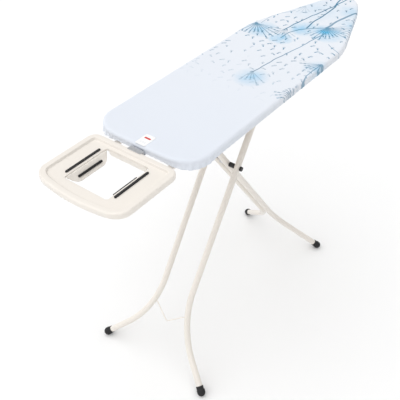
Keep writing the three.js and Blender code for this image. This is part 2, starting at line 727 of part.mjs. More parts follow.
// The pawl reaches over the crossbar. Its nose ends a little above the bar, so that it never blocks it.
function makePawl() {
  const nose = topPivotOuter.x + CROSSBAR_RADIUS + 6;
  const low = topPivotHeight + CROSSBAR_RADIUS + PAWL_CLEARANCE;
  const profile = [
    at(leverX, leverHeight + 7),
    at(nose, low + 14),
    at(nose, low),
    at(nose - 5, low),
    at(nose - 8, low + 4),
    at(leverX, leverHeight - 7),
  ];
  const y0 = PAWL_Y - LEVER_BAR / 2;
  const y1 = PAWL_Y + LEVER_BAR / 2;
  const body = join(crossPlate(profile, y0, y1), crossRod(leverX, leverHeight, 9, y0, y1));
  const bore = crossBore(leverX, leverHeight, AXLE_RADIUS, y0 - 1, y1 + 1);
  addPiece("height_pawl", cut(body, bore), "steel");
}

function makeBearing(name, y) {
  const start = middleMemberX + MEMBER_WIDTH / 2 + GAP;
  const plate = box([start, y - 1, leverHeight - 8], [leverX + 10, y + 1, memberTop - GAP]);
  const bore = crossBore(leverX, leverHeight, AXLE_RADIUS, y - 2, y + 2);
  addPiece(name, cut(plate, bore), "coated");
}

// Torsion spring round the shaft beside the outer bearing.
function makeSpring() {
  const radius = AXLE_RADIUS + SPRING_WIRE + 0.6;
  const pitch = 2 * SPRING_WIRE + 0.4;
  const start = BEARING_Y[0] + 1 + GAP + SPRING_WIRE;
  class Coil extends THREE.Curve {
    getPoint(t) {
      const turn = 2 * HALF_TURN * SPRING_TURNS * t;
      const y = start + pitch * SPRING_TURNS * t;
      return new THREE.Vector3(leverX + radius * Math.cos(turn), y, leverHeight + radius * Math.sin(turn));
    }
  }
  addPiece("lever_spring", sweep(new Coil(), SPRING_WIRE, 5, 10 * SPRING_TURNS), "steel");
}

// ---------- iron rest ----------
const restBoardEdge = -REST_GAP;
const restEnd = restBoardEdge - REST_LENGTH;
const restTop = BOARD_HEIGHT - REST_DROP;
const restFloor = restTop - REST_STEP;
const restBottom = restTop - REST_SKIRT;
const windowBoardSide = restBoardEdge - WINDOW_MARGIN.board;
const windowOuterSide = restEnd + WINDOW_MARGIN.outer;
const windowMiddle = (windowBoardSide + windowOuterSide) / 2;
const windowLength = windowBoardSide - windowOuterSide;
const windowHalfWidth = REST_WIDTH / 2 - WINDOW_MARGIN.side;

function restOutline() {
  const w = REST_WIDTH / 2;
  const r = REST_CORNER;
  const q = REST_OUTER_CORNER;
  const corner = restEnd + REST_BOW * ((w - q) / w) ** 2;
  const slope = (2 * REST_BOW * (w - q)) / w ** 2;
  const half = new THREE.Path();
  half.moveTo(restBoardEdge, 0);
  half.lineTo(restBoardEdge, w - r);
  half.quadraticCurveTo(restBoardEdge, w, restBoardEdge - r, w);
  half.lineTo(corner + q, w);
  half.bezierCurveTo(corner + 0.45 * q, w, corner + 0.55 * q * slope, w - 0.45 * q, corner, w - q);
  half.quadraticCurveTo(restEnd, (w - q) / 2, restEnd, 0);
  const upper = closed(half.getPoints(6));
  return [...upper, ...upper.slice(1, -1).reverse().map((p) => at(p.x, -p.y))];
}

const windowCorners = [
  at(windowOuterSide, -windowHalfWidth),
  at(windowBoardSide, -windowHalfWidth),
  at(windowBoardSide, windowHalfWidth),
  at(windowOuterSide, windowHalfWidth),
];

// A sloping wall at the window's side, drawn as a profile across the rest, with slanted ends.
function slopeWall(side) {
  const low = restFloor - SLOPE_DEPTH;
  const foot = windowHalfWidth - SLOPE_INSET;
  const profile = [
    at(windowHalfWidth, restFloor),
    at(foot, low),
    at(foot + 0.6, low - REST_WALL),
    at(foot + REST_WALL * 1.3, low),
    at(windowHalfWidth + REST_WALL * 1.3, restFloor),
  ].map((p) => at(side * p.x, p.y));
  const wall = lengthPlate(profile, windowOuterSide + REST_WALL, windowBoardSide - REST_WALL);
  const reach = windowHalfWidth + 3 * REST_WALL;
  const wedges = [1, -1].map((end) => {
    const x = windowMiddle + (end * windowLength) / 2;
    const triangle = [
      at(x - 0.1 * end * SLOPE_SLANT, restFloor - REST_WALL),
      at(x - end * SLOPE_SLANT, low - 2 * REST_WALL),
      at(x + end, low - 2 * REST_WALL),
      at(x + end, restFloor - REST_WALL),
    ];
    return crossPlate(triangle, -reach, reach);
  });
  return cut(wall, ...wedges);
}

function makeRest() {
  const edge = restOutline();
  const shell = roundedSlab(edge, restBottom - 8, restTop, 5, 2);
  const below = box([restEnd - 1, -REST_WIDTH, restBottom - 20], [0, REST_WIDTH, restBottom]);
  const recess = slab(inset(edge, REST_RIM), restFloor, restTop + 1);
  const floorUnder = restFloor - REST_WALL;
  const under = slab(inset(edge, REST_WALL), restBottom - 1, floorUnder);
  const rimUnder = ring(
    inset(edge, REST_WALL + 1.5),
    REST_RIM - 2 * REST_WALL - 1.5,
    floorUnder - 1,
    restTop - REST_WALL,
  );
  const opening = slab(windowCorners, restBottom - 1, restTop + 1);
  const tray = cut(shell, below, recess, under, rimUnder, opening);
  const flange = (x0, x1) =>
    box([x0, -windowHalfWidth - 1, restFloor - WINDOW_FLANGE], [x1, windowHalfWidth + 1, restFloor - 0.5]);
  const flanges = [
    flange(windowBoardSide - REST_WALL, windowBoardSide + 0.5),
    flange(windowOuterSide - 0.5, windowOuterSide + REST_WALL),
  ];
  const pressed = join(tray, ...flanges, slopeWall(1), slopeWall(-1));
  addPiece("iron_rest_tray", cut(pressed, ...screwBores(floorUnder - 1, restFloor + 1)), "tray");
}

// Round-ended bar, lying on its back, centred on the origin.
function stripBar(length) {
  const r = STRIP_WIDTH / 2;
  const outlineHalf = new THREE.Path()
    .absarc(length / 2 - r, 0, r, -HALF_TURN / 2, HALF_TURN / 2)
    .absarc(r - length / 2, 0, r, HALF_TURN / 2, 1.5 * HALF_TURN);
  return slab(closed(outlineHalf.getPoints(5)), 0, STRIP_HEIGHT);
}

function makeStrips() {
  const slope = Math.atan2(SLOPE_DEPTH, SLOPE_INSET);
  const down = 0.58; // how far down the sloping wall its strip sits
  [1, -1].forEach((side) => {
    const word = side > 0 ? "left" : "right";
    const flat = stripBar(windowLength - 2 * STRIP_MARGIN);
    flat.translate(windowMiddle, side * (windowHalfWidth + STRIP_AWAY), restFloor + GAP);
    addPiece(`grip_strip_${word}`, flat, "black");
    const tilted = stripBar(windowLength - 2 * SLOPE_STRIP_MARGIN).translate(0, 0, GAP);
    tilted.rotateX(side * slope);
    const y = side * (windowHalfWidth - SLOPE_INSET * down);
    tilted.translate(windowMiddle, y, restFloor - SLOPE_DEPTH * down);
    addPiece(`slope_strip_${word}`, tilted, "black");
  });
}

function screwPlaces() {
  return [-1, 1].flatMap((side) => [
    [WIDE_MEMBER_X, side * armY],
    [restBoardEdge - ARM_REACH + 22, side * armY],
  ]);
}

function screwBores(z0, z1) {
  return screwPlaces().map(([x, y]) => post(x, y, SCREW_RADIUS + PIN_CLEARANCE, z0, z1));
}

// Bars that carry the rest: flat under the cross member, up behind the skirt, flat under the rest's floor.
function makeArm(name, side) {
  const top = memberBottom - GAP;
  const high = restFloor - REST_WALL - GAP;
  const t = ARM_THICKNESS;
  const rear = WIDE_MEMBER_X + MEMBER_WIDTH / 2;
  const knee = restBoardEdge - REST_WALL - 6;
  const raised = knee - 24;
  const front = restBoardEdge - ARM_REACH;
  const profile = [
    at(rear, top),
    at(knee, top),
    at(raised, high),
    at(front, high),
    at(front, high - t),
    at(raised - t / 2, high - t),
    at(knee - t / 2, top - t),
    at(rear, top - t),
  ];
  const y = side * armY;
  const bar = crossPlate(profile, y - ARM_WIDTH / 2, y + ARM_WIDTH / 2);
  addPiece(name, cut(bar, ...screwBores(top - 2 * t, high + t)), "coated");
}

function makeScrews() {
  screwPlaces().forEach(([x, y]) => {
    const underBoard = x > 0;
    const plateTop = underBoard ? memberBottom + PLATE : restFloor;
    const armLow = (underBoard ? memberBottom : restFloor - REST_WALL) - GAP - ARM_THICKNESS;
    const head = post(x, y, SCREW_HEAD_RADIUS, armLow - GAP - SCREW_HEAD, armLow - GAP);
    const shank = post(x, y, SCREW_RADIUS, armLow - GAP - 1, plateTop);
    const where = `${underBoard ? "member" : "rest"}_${y > 0 ? "left" : "right"}`;
    addPiece(`arm_screw_${where}`, join(head, shank), "steel");
  });
}

// Sheet metal tongue: flat under the board's end, up through the gap, hooked over the rest's rim.
function makeTongue() {
  const low = coverBottom - GAP;
  const high = restTop + GAP + PLATE;
  const rear = WIDE_MEMBER_X - MEMBER_WIDTH / 2 - GAP;
  const upright = -0.35 * REST_GAP;
  const hook = restBoardEdge - TONGUE_HOOK;
  const profile = [
    at(rear, low),
    at(upright, low),
    at(upright, high),
    at(hook, high),
    at(hook, high - PLATE),
    at(upright - PLATE, high - PLATE),
    at(upright - PLATE, low - PLATE),
    at(rear, low - PLATE),
  ];
  addPiece("rest_tongue", crossPlate(profile, -TONGUE_WIDTH / 2, TONGUE_WIDTH / 2), "steel");
}

// ---------- assembly ----------
makeCover();
makePad();
makeSheet();
makeRim();
makeDrawcord();
makeLabel();
makeCrossMember("cross_member_wide", WIDE_MEMBER_X);
makeCrossMember("cross_member_middle", middleMemberX);
makeCrossMember("cross_member_nose", noseMemberX);
makeRail("slide_rail_left", 1);
makeRail("slide_rail_right", -1);
[true, false].forEach((outer) => {
  [1, -1].forEach((side) => {
    const word = `${outer ? "outer" : "inner"}_${side > 0 ? "left" : "right"}`;
    makeLeg(`leg_tube_${word}`, outer, side);
    makeFootCap(`foot_cap_${word}`, outer, side);
  });
});
makeScissorPivot();
makeHingeAxle();
BRACE_STATIONS.forEach((along, i) => {
  betweenInnerTubes(`tube_brace_${["upper", "lower"][i]}`, along, BRACE_HEIGHT, PLATE, "coated");
});
const blockMiddle = (SPACER_BLOCK.from + SPACER_BLOCK.to) / 2;
betweenInnerTubes("tube_spacer_block", blockMiddle, SPACER_BLOCK.to - SPACER_BLOCK.from, 16, "black");
makeCrossbar();
makeWire();
makeHeightRack();
makeRelease();
makeRest();
makeStrips();
makeArm("rest_arm_left", 1);
makeArm("rest_arm_right", -1);
makeScrews();
makeTongue();

// Origin: the middle of the object's footprint, on the floor.
part.position.x = -(BOARD_LENGTH + restEnd) / 2;

export default part;
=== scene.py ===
# Folding ironing board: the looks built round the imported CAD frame.
# Metres, +Z up, +X towards the nose. Places come from the frame's own boxes.
import math

import bmesh
import bpy
import numpy as np
from mathutils import Matrix, Vector, noise


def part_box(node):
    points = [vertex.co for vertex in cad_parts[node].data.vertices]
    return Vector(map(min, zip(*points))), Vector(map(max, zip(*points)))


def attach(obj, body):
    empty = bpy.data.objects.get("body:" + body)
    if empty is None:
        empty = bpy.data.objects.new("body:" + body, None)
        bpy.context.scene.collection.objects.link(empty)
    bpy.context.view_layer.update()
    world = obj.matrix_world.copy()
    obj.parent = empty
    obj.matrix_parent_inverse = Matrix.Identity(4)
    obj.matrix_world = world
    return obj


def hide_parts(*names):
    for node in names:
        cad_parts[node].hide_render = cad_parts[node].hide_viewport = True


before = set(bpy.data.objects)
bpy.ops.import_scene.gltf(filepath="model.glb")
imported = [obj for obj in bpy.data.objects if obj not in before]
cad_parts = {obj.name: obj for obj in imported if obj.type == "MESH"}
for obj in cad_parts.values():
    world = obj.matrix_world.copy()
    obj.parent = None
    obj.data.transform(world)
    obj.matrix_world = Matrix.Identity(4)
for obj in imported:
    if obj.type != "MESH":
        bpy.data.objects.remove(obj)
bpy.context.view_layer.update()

MM = 0.001
SIDES = {"left": 1, "right": -1}

# ---------- the board's driving sizes, as in the CAD ----------
BOARD_WIDTH = 372 * MM
END_BOW = 8 * MM
CORNER_RADIUS = 84 * MM
NOSE_LENGTH = 452 * MM
SHOULDER_LENGTH = 245 * MM
SHOULDER_HALF_WIDTH = 120 * MM
SHOULDER_SLOPE = 0.33
NOSE_FULLNESS = 60 * MM
COVER_EDGE = 9.5 * MM  # roundness of the padded edge
HEM_FOLD = 3.5 * MM  # roundness of the fold under the skirt
CORD_INSET = 21.5 * MM
CORD_RADIUS = 1.5 * MM
CORD_CASING = 2.7 * MM
BRAID_PITCH = 3.4 * MM
CLOTH = 0.7 * MM

# Stand
TUBE_RADIUS = 11 * MM
TUBE_WALL = 1.5 * MM
OUTER_ANGLE = math.radians(57.4)
INNER_ANGLE = math.radians(54.25)
OUTER_FLARE = {"spacing": 61.5 * MM, "radius": 345 * MM, "angle": math.radians(42), "foot": 222 * MM}
INNER_FLARE = {"spacing": 19 * MM, "radius": 230 * MM, "angle": math.radians(40), "foot": 181 * MM}
CAP_RADIUS = 14.5 * MM
TUBE_TOP = 14 * MM
WIRE_RADIUS = 2 * MM
WIRE_DROP = 44 * MM
WIRE_HEIGHT = 191 * MM  # of its ends, above the floor
WIRE_BEND = 4.6 * MM

# Iron rest
REST_BOW = 22 * MM
REST_CORNER = 34 * MM
REST_OUTER_CORNER = 50 * MM
REST_STEP = 7 * MM
REST_SKIRT = 18 * MM
SHEET = 1.8 * MM
WINDOW_FLANGE = 18 * MM
WINDOW_FROM_BOARD_SIDE = 32 * MM
WINDOW_FROM_OUTER_SIDE = 55 * MM
WINDOW_FROM_ENDS = 78 * MM
WINDOW_CORNER = 9 * MM
WINDOW_BEND = 1.6 * MM
SLOPE_DEPTH = 27 * MM
SLOPE_INSET = 23 * MM
SLOPE_SLANT = 26 * MM

# ---------- places, read from the frame ----------
cover_low, cover_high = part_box("cotton_cover")
END_X = cover_low.x  # the board's wide end
BOARD_LENGTH = cover_high.x - cover_low.x
TOP = cover_high.z
tray_low, tray_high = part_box("iron_rest_tray")
axle_low, axle_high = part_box("hinge_axle")
hinge = (axle_low + axle_high) / 2
bar_low, bar_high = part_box("height_crossbar")
crossbar = (bar_low + bar_high) / 2
pin_low, pin_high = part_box("scissor_axle")
cross = (pin_low + pin_high) / 2


# ---------- curves and outlines ----------
def bezier(*controls, count=24):
    """Points along a Bezier curve, without the first one."""
    t = np.linspace(0, 1, count + 1)[1:, None]
    degree = len(controls) - 1
    weights = [math.comb(degree, i) * (1 - t) ** (degree - i) * t**i for i in range(degree + 1)]
    return sum(weight * np.array(control) for weight, control in zip(weights, controls))


def resample(points, count):
    """A closed outline as points an equal distance apart, from the same start."""
    loop = np.vstack([points, points[:1]])
    along = np.concatenate([[0], np.cumsum(np.linalg.norm(np.diff(loop, axis=0), axis=1))])
    places = np.linspace(0, along[-1], count + 1)[:-1]
    return np.column_stack([np.interp(places, along, loop[:, k]) for k in (0, 1)])


def mirrored(half, count):
    """The whole outline from its +Y half, which starts and ends on the centre line."""
    lower = half[1:-1][::-1] * [1, -1]
    return resample(np.vstack([half, lower]), count)


def board_outline(count):
    """The plan of the board: a bowed wide end, rounded corners, straight sides and a tapered nose."""
    w, r = BOARD_WIDTH / 2, CORNER_RADIUS
    taper = BOARD_LENGTH - NOSE_LENGTH
    shoulder = taper + SHOULDER_LENGTH
    tip = BOARD_LENGTH - shoulder
    bow = END_BOW * ((w - r) / w) ** 2
    ease = 0.36 * SHOULDER_LENGTH
    nose = 0.45 * tip
    half = np.vstack([
        [[0, 0]],
        bezier((0, 0), (0, (w - r) / 2), (bow, w - r)),
        bezier((bow, w - r), (bow + 0.05 * r, w - 0.45 * r), (bow + 0.45 * r, w), (bow + r, w)),
        [[taper, w]],
        bezier(
            (taper, w),
            (taper + 0.28 * SHOULDER_LENGTH, w),
            (shoulder - ease, SHOULDER_HALF_WIDTH + ease * SHOULDER_SLOPE),
            (shoulder, SHOULDER_HALF_WIDTH),
        ),
        bezier(
            (shoulder, SHOULDER_HALF_WIDTH),
            (shoulder + nose, SHOULDER_HALF_WIDTH - nose * SHOULDER_SLOPE),
            (BOARD_LENGTH, NOSE_FULLNESS),
            (BOARD_LENGTH, 0),
        ),
    ])
    return mirrored(half, count) + [END_X, 0]


def rest_outline(count):
    """The plan of the iron rest, with its bowed side away from the board."""
    w = tray_high.y
    r, q = REST_CORNER, REST_OUTER_CORNER
    corner = tray_low.x + REST_BOW * ((w - q) / w) ** 2
    slope = 2 * REST_BOW * (w - q) / w**2
    board = tray_high.x
    half = np.vstack([
        [[board, 0], [board, w - r]],
        bezier((board, w - r), (board, w), (board - r, w)),
        [[corner + q, w]],
        bezier(
            (corner + q, w),
            (corner + 0.45 * q, w),
            (corner + 0.55 * q * slope, w - 0.45 * q),
            (corner, w - q),
        ),
        bezier((corner, w - q), (tray_low.x, (w - q) / 2), (tray_low.x, 0)),
    ])
    return mirrored(half, count)


def signed_area(outline):
    """The area inside a closed outline, negative when it runs clockwise."""
    x, y = outline.T
    return float(np.sum(x * np.roll(y, -1) - np.roll(x, -1) * y)) / 2


def normals_out(outline):
    """Unit vectors pointing out of an outline at each point."""
    along = np.roll(outline, -1, 0) - np.roll(outline, 1, 0)
    out = np.column_stack([along[:, 1], -along[:, 0]])
    out /= np.linalg.norm(out, axis=1)[:, None]
    return out if signed_area(outline) > 0 else -out


# ---------- mesh helpers ----------
def new_object(name, data, body, replaced=()):
    piece = bpy.data.objects.new(name, data)
    bpy.context.scene.collection.objects.link(piece)
    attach(piece, body)
    if replaced:
        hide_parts(*replaced)
    return piece


def mesh_from(name, points, faces, smooth=True):
    mesh = bpy.data.meshes.new(name)
    mesh.from_pydata([tuple(p) for p in points], [], faces)
    mesh.validate()
    mesh.polygons.foreach_set("use_smooth", [smooth] * len(mesh.polygons))
    mesh.update()
    return mesh


def tidy_mesh(mesh, merge=1e-6):
    """Joins doubled points and turns the faces outwards."""
    work = bmesh.new()
    work.from_mesh(mesh)
    bmesh.ops.remove_doubles(work, verts=work.verts, dist=merge)
    bmesh.ops.recalc_face_normals(work, faces=work.faces)
    work.to_mesh(mesh)
    work.free()
    mesh.update()


def rings_to_faces(rows, count, closed_rows=False):
    """Quads between neighbouring rings of count points each."""
    faces = []
    last = rows if closed_rows else rows - 1
    for row in range(last):
        below = ((row + 1) % rows) * count
        here = row * count
        for i in range(count):
            j = (i + 1) % count
            faces.append((here + i, here + j, below + j, below + i))
    return faces


def ring_mesh(name, rings, merge=1e-6, closed=False):
    """A mesh through rings that have the same number of points each."""
    mesh = mesh_from(name, np.vstack(rings), rings_to_faces(len(rings), len(rings[0]), closed))
    tidy_mesh(mesh, merge)
    return mesh


def lathe(name, profile, segments=48):
    """A turned mesh about +X from (along, radius) points; ends on the axis are closed."""
    points = []
    for along, radius in profile:
        for i in range(segments):
            turn = 2 * math.pi * i / segments
            points.append((along, radius * math.cos(turn), radius * math.sin(turn)))
    faces = rings_to_faces(len(profile), segments)
    mesh = mesh_from(name, points, faces)
    tidy_mesh(mesh)
    return mesh


def tube_mesh(name, path, radius, sides=28, wall=0.0):
    """A round tube along 3-D points. With a wall it is hollow and open ended."""
    path = [Vector(p) for p in path]
    side = None
    frames = []
    for i, p in enumerate(path):
        ahead = (path[min(i + 1, len(path) - 1)] - path[max(i - 1, 0)]).normalized()
        side = (ahead.orthogonal() if side is None else side - side.dot(ahead) * ahead).normalized()
        frames.append((p, side.copy(), ahead.cross(side)))
    points = []
    radii = [radius, radius - wall] if wall else [radius]
    for r in radii:
        for p, u, v in frames if r == radius else reversed(frames):
            for k in range(sides):
                turn = 2 * math.pi * k / sides
                points.append(p + r * (math.cos(turn) * u + math.sin(turn) * v))
    rows = len(path) * len(radii)
    faces = rings_to_faces(rows, sides, closed_rows=bool(wall))
    if not wall:
        faces.append(tuple(range(sides)))
        faces.append(tuple(range((rows - 1) * sides, rows * sides)))
    mesh = mesh_from(name, points, faces)
    tidy_mesh(mesh)
    return mesh


def bevel(piece, width, segments=2):
    modifier = piece.modifiers.new("edges", "BEVEL")
    modifier.width = width
    modifier.segments = segments
    modifier.limit_method = "ANGLE"
    modifier.angle_limit = math.radians(40)


def smooth_by_angle(piece, degrees=40):
    """Smooth shading, with the edges above that angle kept sharp."""
    mesh = piece.data
    mesh.polygons.foreach_set("use_smooth", [True] * len(mesh.polygons))
    mesh.set_sharp_from_angle(angle=math.radians(degrees))


# ---------- materials ----------
class Field:
    """A value in a material's node tree that can be written as arithmetic."""

    def __init__(self, tree, socket):
        self.tree = tree
        self.socket = socket

    def math(self, operation, *others, clamp=False):
        node = self.tree.nodes.new("ShaderNodeMath")
        node.operation = operation
        node.use_clamp = clamp
        for slot, value in enumerate((self, *others)):
            if isinstance(value, Field):
                self.tree.links.new(value.socket, node.inputs[slot])
            else:
                node.inputs[slot].default_value = value
        return Field(self.tree, node.outputs[0])

    def __add__(self, other):
        return self.math("ADD", other)

    def __sub__(self, other):
        return self.math("SUBTRACT", other)

    def __mul__(self, other):
        return self.math("MULTIPLY", other)

    def __truediv__(self, other):
        return self.math("DIVIDE", other)

    def clamped(self):
        """The value kept between 0 and 1."""
        return self.math("ADD", 0.0, clamp=True)

    def below(self, limit, soft):
        """1 where the value is under limit, 0 above it, with a soft edge."""
        scaled = (self - limit) / soft
        return ((scaled * -1) + 0.5).clamped()


def new_material(name, color, roughness, metallic=0.0, sheen=0.0, coat=0.0):
    material = bpy.data.materials.new(name)
    material.use_nodes = True
    shader = material.node_tree.nodes["Principled BSDF"]
    shader.inputs["Base Color"].default_value = (*color, 1)
    shader.inputs["Roughness"].default_value = roughness
    shader.inputs["Metallic"].default_value = metallic
    shader.inputs["Sheen Weight"].default_value = sheen
    shader.inputs["Coat Weight"].default_value = coat
    material.diffuse_color = (*color, 1)
    return material, material.node_tree, shader


def position(tree):
    return tree.nodes.new("ShaderNodeTexCoord").outputs["Object"]


def flat_millimetres(tree, vector):
    """The X and Y of a vector, in millimetres."""
    split = tree.nodes.new("ShaderNodeSeparateXYZ")
    tree.links.new(vector, split.inputs[0])
    return [Field(tree, split.outputs[axis]) * 1000 for axis in (0, 1)]


def texture(tree, kind, place, scale, **settings):
    node = tree.nodes.new(kind)
    tree.links.new(place, node.inputs["Vector"])
    node.inputs["Scale"].default_value = scale
    for key, value in settings.items():
        node.inputs[key].default_value = value
    return node


def stretched(tree, place, scale):
    """A place scaled by a different number along each axis."""
    node = tree.nodes.new("ShaderNodeMapping")
    node.inputs["Scale"].default_value = scale
    tree.links.new(place, node.inputs["Vector"])
    return node.outputs[0]


def add_bump(tree, shader, height, distance, strength=1.0, under=None):
    node = tree.nodes.new("ShaderNodeBump")
    node.inputs["Distance"].default_value = distance
    node.inputs["Strength"].default_value = strength
    tree.links.new(height, node.inputs["Height"])
    if under:
        tree.links.new(under.outputs[0], node.inputs["Normal"])
    tree.links.new(node.outputs[0], shader.inputs["Normal"])
    return node


def color_mix(tree, factor, first, second, blend="MIX"):
    node = tree.nodes.new("ShaderNodeMix")
    node.data_type = "RGBA"
    node.blend_type = blend
    for value, socket in ((factor, node.inputs[0]), (first, node.inputs[6]), (second, node.inputs[7])):
        if isinstance(value, bpy.types.NodeSocket):
            tree.links.new(value, socket)
        elif socket.type == "RGBA":
            socket.default_value = (*value, 1)
        else:
            socket.default_value = value
    return node.outputs[2]


def spread(tree, value, low, high):
    """Maps 0..1 to low..high."""
    node = tree.nodes.new("ShaderNodeMapRange")
    node.inputs["To Min"].default_value = low
    node.inputs["To Max"].default_value = high
    tree.links.new(value, node.inputs["Value"])
    return node.outputs[0]


def vary(tree, shader, base, amount, place, scale):
    """Slow colour variation round a base colour; gives back its noise, which some callers also use for
    roughness.
    """
    clouds = texture(tree, "ShaderNodeTexNoise", place, scale, Detail=3.0)
    dark = [c * (1 - amount) for c in base]
    light = [min(1, c * (1 + amount)) for c in base]
    mixed = color_mix(tree, clouds.outputs[0], dark, light)
    tree.links.new(mixed, shader.inputs["Base Color"])
    return clouds


def powder_coat(name, color, roughness=0.38):
    """Sprayed and baked coat: a fine orange-peel skin with slow variation in its gloss."""
    material, tree, shader = new_material(name, color, roughness, coat=0.15)
    shader.inputs["Coat Roughness"].default_value = 0.25
    place = position(tree)
    clouds = vary(tree, shader, color, 0.02, place, 9)
    gloss = spread(tree, clouds.outputs[0], roughness - 0.06, roughness + 0.08)
    tree.links.new(gloss, shader.inputs["Roughness"])
    peel = texture(tree, "ShaderNodeTexNoise", place, 900, Detail=2.0)
    add_bump(tree, shader, peel.outputs[0], 0.06 * MM, 0.5)
    return material


def moulded(name, color, roughness, grain=1400, depth=0.08 * MM):
    """Moulded plastic or rubber with a fine spark-eroded grain."""
    material, tree, shader = new_material(name, color, roughness)
    place = position(tree)
    clouds = vary(tree, shader, color, 0.18, place, 60)
    gloss = spread(tree, clouds.outputs[0], roughness - 0.08, roughness + 0.1)
    tree.links.new(gloss, shader.inputs["Roughness"])
    pits = texture(tree, "ShaderNodeTexVoronoi", place, grain)
    add_bump(tree, shader, pits.outputs["Distance"], depth, 0.6)
    return material


def plated_steel(name, color=(0.62, 0.63, 0.65)):
    """Zinc plate: drawn lines along the piece and a mottled sheen."""
    material, tree, shader = new_material(name, color, 0.34, metallic=1.0)
    place = position(tree)
    lines = texture(tree, "ShaderNodeTexNoise", stretched(tree, place, (4, 900, 900)), 1.0, Detail=4.0)
    mottle = vary(tree, shader, color, 0.12, place, 140)
    tree.links.new(spread(tree, mottle.outputs[0], 0.26, 0.46), shader.inputs["Roughness"])
    add_bump(tree, shader, lines.outputs[0], 0.03 * MM, 0.5)
    return material


BANDS_PER_METRE = 3.1831  # of a wave texture at scale 1


def woven(tree, place, pitch):
    """Height of a plain weave: warp and weft bands over and under each other."""
    bands = []
    for axis in ("X", "Y"):
        wave = texture(tree, "ShaderNodeTexWave", place, 1 / (2 * pitch) / BANDS_PER_METRE)
        wave.bands_direction = axis
        wave.inputs["Distortion"].default_value = 0.4
        wave.inputs["Detail"].default_value = 1.0
        bands.append(Field(tree, wave.outputs["Fac"]))
    return bands[0] * bands[1]


def felt(name, color):
    """Soft fibre pad with a matted surface."""
    material, tree, shader = new_material(name, color, 0.95, sheen=0.3)
    place = position(tree)
    vary(tree, shader, color, 0.08, place, 45)
    fibres = texture(tree, "ShaderNodeTexNoise", place, 1500, Detail=6.0, Roughness=0.8)
    add_bump(tree, shader, fibres.outputs[0], 0.5 * MM, 0.9)
    return material


def srgb(red, green, blue):
    """An everyday 0..255 colour as the shader's linear values."""
    values = [c / 255 for c in (red, green, blue)]
    return tuple(c / 12.92 if c <= 0.04045 else ((c + 0.055) / 1.055) ** 2.4 for c in values)


# ---------- the cover's print: stalks, seed heads and loose seeds ----------
# Places are millimetres from the middle of the board's wide end: along the board, then across it.
STALKS = [
    # corner points, half width, strength
    ([(1238, -4), (1118, 14), (1010, 30), (842, 60)], 2.2, 1.0),
    ([(1168, -98), (1100, -78), (1020, -66), (944, -60)], 4.6, 0.75),
    ([(944, -60), (912, -24), (872, 14), (832, 34), (782, 38)], 2.4, 0.8),
    ([(1226, 26), (1100, 4), (900, -4)], 2.4, 1.0),
    ([(900, -76), (770, -60), (650, -42), (520, -18)], 1.9, 0.85),
    ([(1010, 110), (930, 146), (842, 152)], 1.4, 0.5),
    ([(812, -236), (800, -176), (832, -128)], 1.6, 0.6),
    ([(500, -226), (540, -190), (600, -174), (690, -178)], 1.8, 0.7),
]
SEED_HEADS = [
    # centre, reach, spokes, facing (degrees from the nose), half spread (degrees), strength
    ((830, 164), 122, 30, 216, 64, 1.0),
    ((944, -60), 124, 32, 238, 78, 1.0),
    ((520, -18), 92, 22, 212, 40, 0.55),
    ((842, 60), 70, 22, 200, 60, 0.5),
    ((690, -178), 78, 24, 176, 70, 0.8),
    ((1060, 96), 60, 20, 160, 80, 0.3),
    ((476, -206), 60, 20, 90, 80, 0.7),
]
WASHES = [
    # centre, reach, strength
    ((776, 34), 46, 1.0),
    ((890, 0), 60, 0.7),
    ((800, 130), 66, 0.6),
    ((905, -84), 72, 0.8),
    ((1120, -70), 70, 0.32),
    ((1060, 40), 130, 0.16),
    ((490, -40), 62, 0.4),
    ((660, -190), 60, 0.34),
    ((1010, -130), 70, 0.3),
]
COTTON = srgb(228, 232, 238)
PALE_BLUE = srgb(210, 217, 231)
TEAL = srgb(0, 64, 88)
CYAN = srgb(0, 140, 184)
WASH_BLUE = srgb(64, 178, 224)


def distance_to(x, y, place):
    """How far (x, y) is from a point: along the board, across it and straight."""
    dx = x - place[0]
    dy = y - place[1]
    return dx, dy, (dx * dx + dy * dy).math("SQRT")


def distance_to_line(x, y, start, end):
    """Distance from (x, y) to the straight line between two points."""
    along = (end[0] - start[0], end[1] - start[1])
    size = along[0] ** 2 + along[1] ** 2
    dx = x - start[0]
    dy = y - start[1]
    share = ((dx * along[0] + dy * along[1]) / size).clamped()
    ex = dx - share * along[0]
    ey = dy - share * along[1]
    return (ex * ex + ey * ey).math("SQRT")


def seed_head(x, y, centre, reach, spokes, facing, half_spread, strength):
    """Fine rays from a point, each with a pod and a tuft at its end, over one part of the circle.

    Widths and reaches are millimetres.
    """
    dx, dy, away = distance_to(x, y, centre)
    angle = dy.math("ARCTAN2", dx)
    facing = math.radians(facing)
    turned = (angle - facing).math("WRAP", math.pi, -math.pi)
    step = 2 * math.pi / spokes
    index = (turned / step).math("ROUND")
    # a number between 0 and 1 that differs from ray to ray and stays the same in every run
    chance = ((index * 12.9898).math("SINE") * 43.758).math("FRACT")
    sideways = ((turned - index * step) * away).math("ABSOLUTE")
    end = chance * (0.42 * reach) + 0.58 * reach
    ray = sideways.below(1.3, 0.9) * away.below(end, 3.0) * 0.8
    short = (away - end).math("ABSOLUTE")
    fan = sideways.below(4.2, 1.2) * short.below(4.2, 2.0)
    hairs = (((turned * away) / 1.15).math("FRACT") - 0.5).math("ABSOLUTE").below(0.27, 0.25)
    heart = away.below(6.5, 3.0)
    pod = sideways.below(2.3, 0.8) * (away - end + 13).math("ABSOLUTE").below(4.2, 1.4)
    mark = ray.math("MAXIMUM", fan * hairs * 0.9).math("MAXIMUM", pod).math("MAXIMUM", heart * 0.9)
    inside = turned.math("ABSOLUTE").below(math.radians(half_spread), 0.3)
    return mark * inside.math("MAXIMUM", heart) * strength


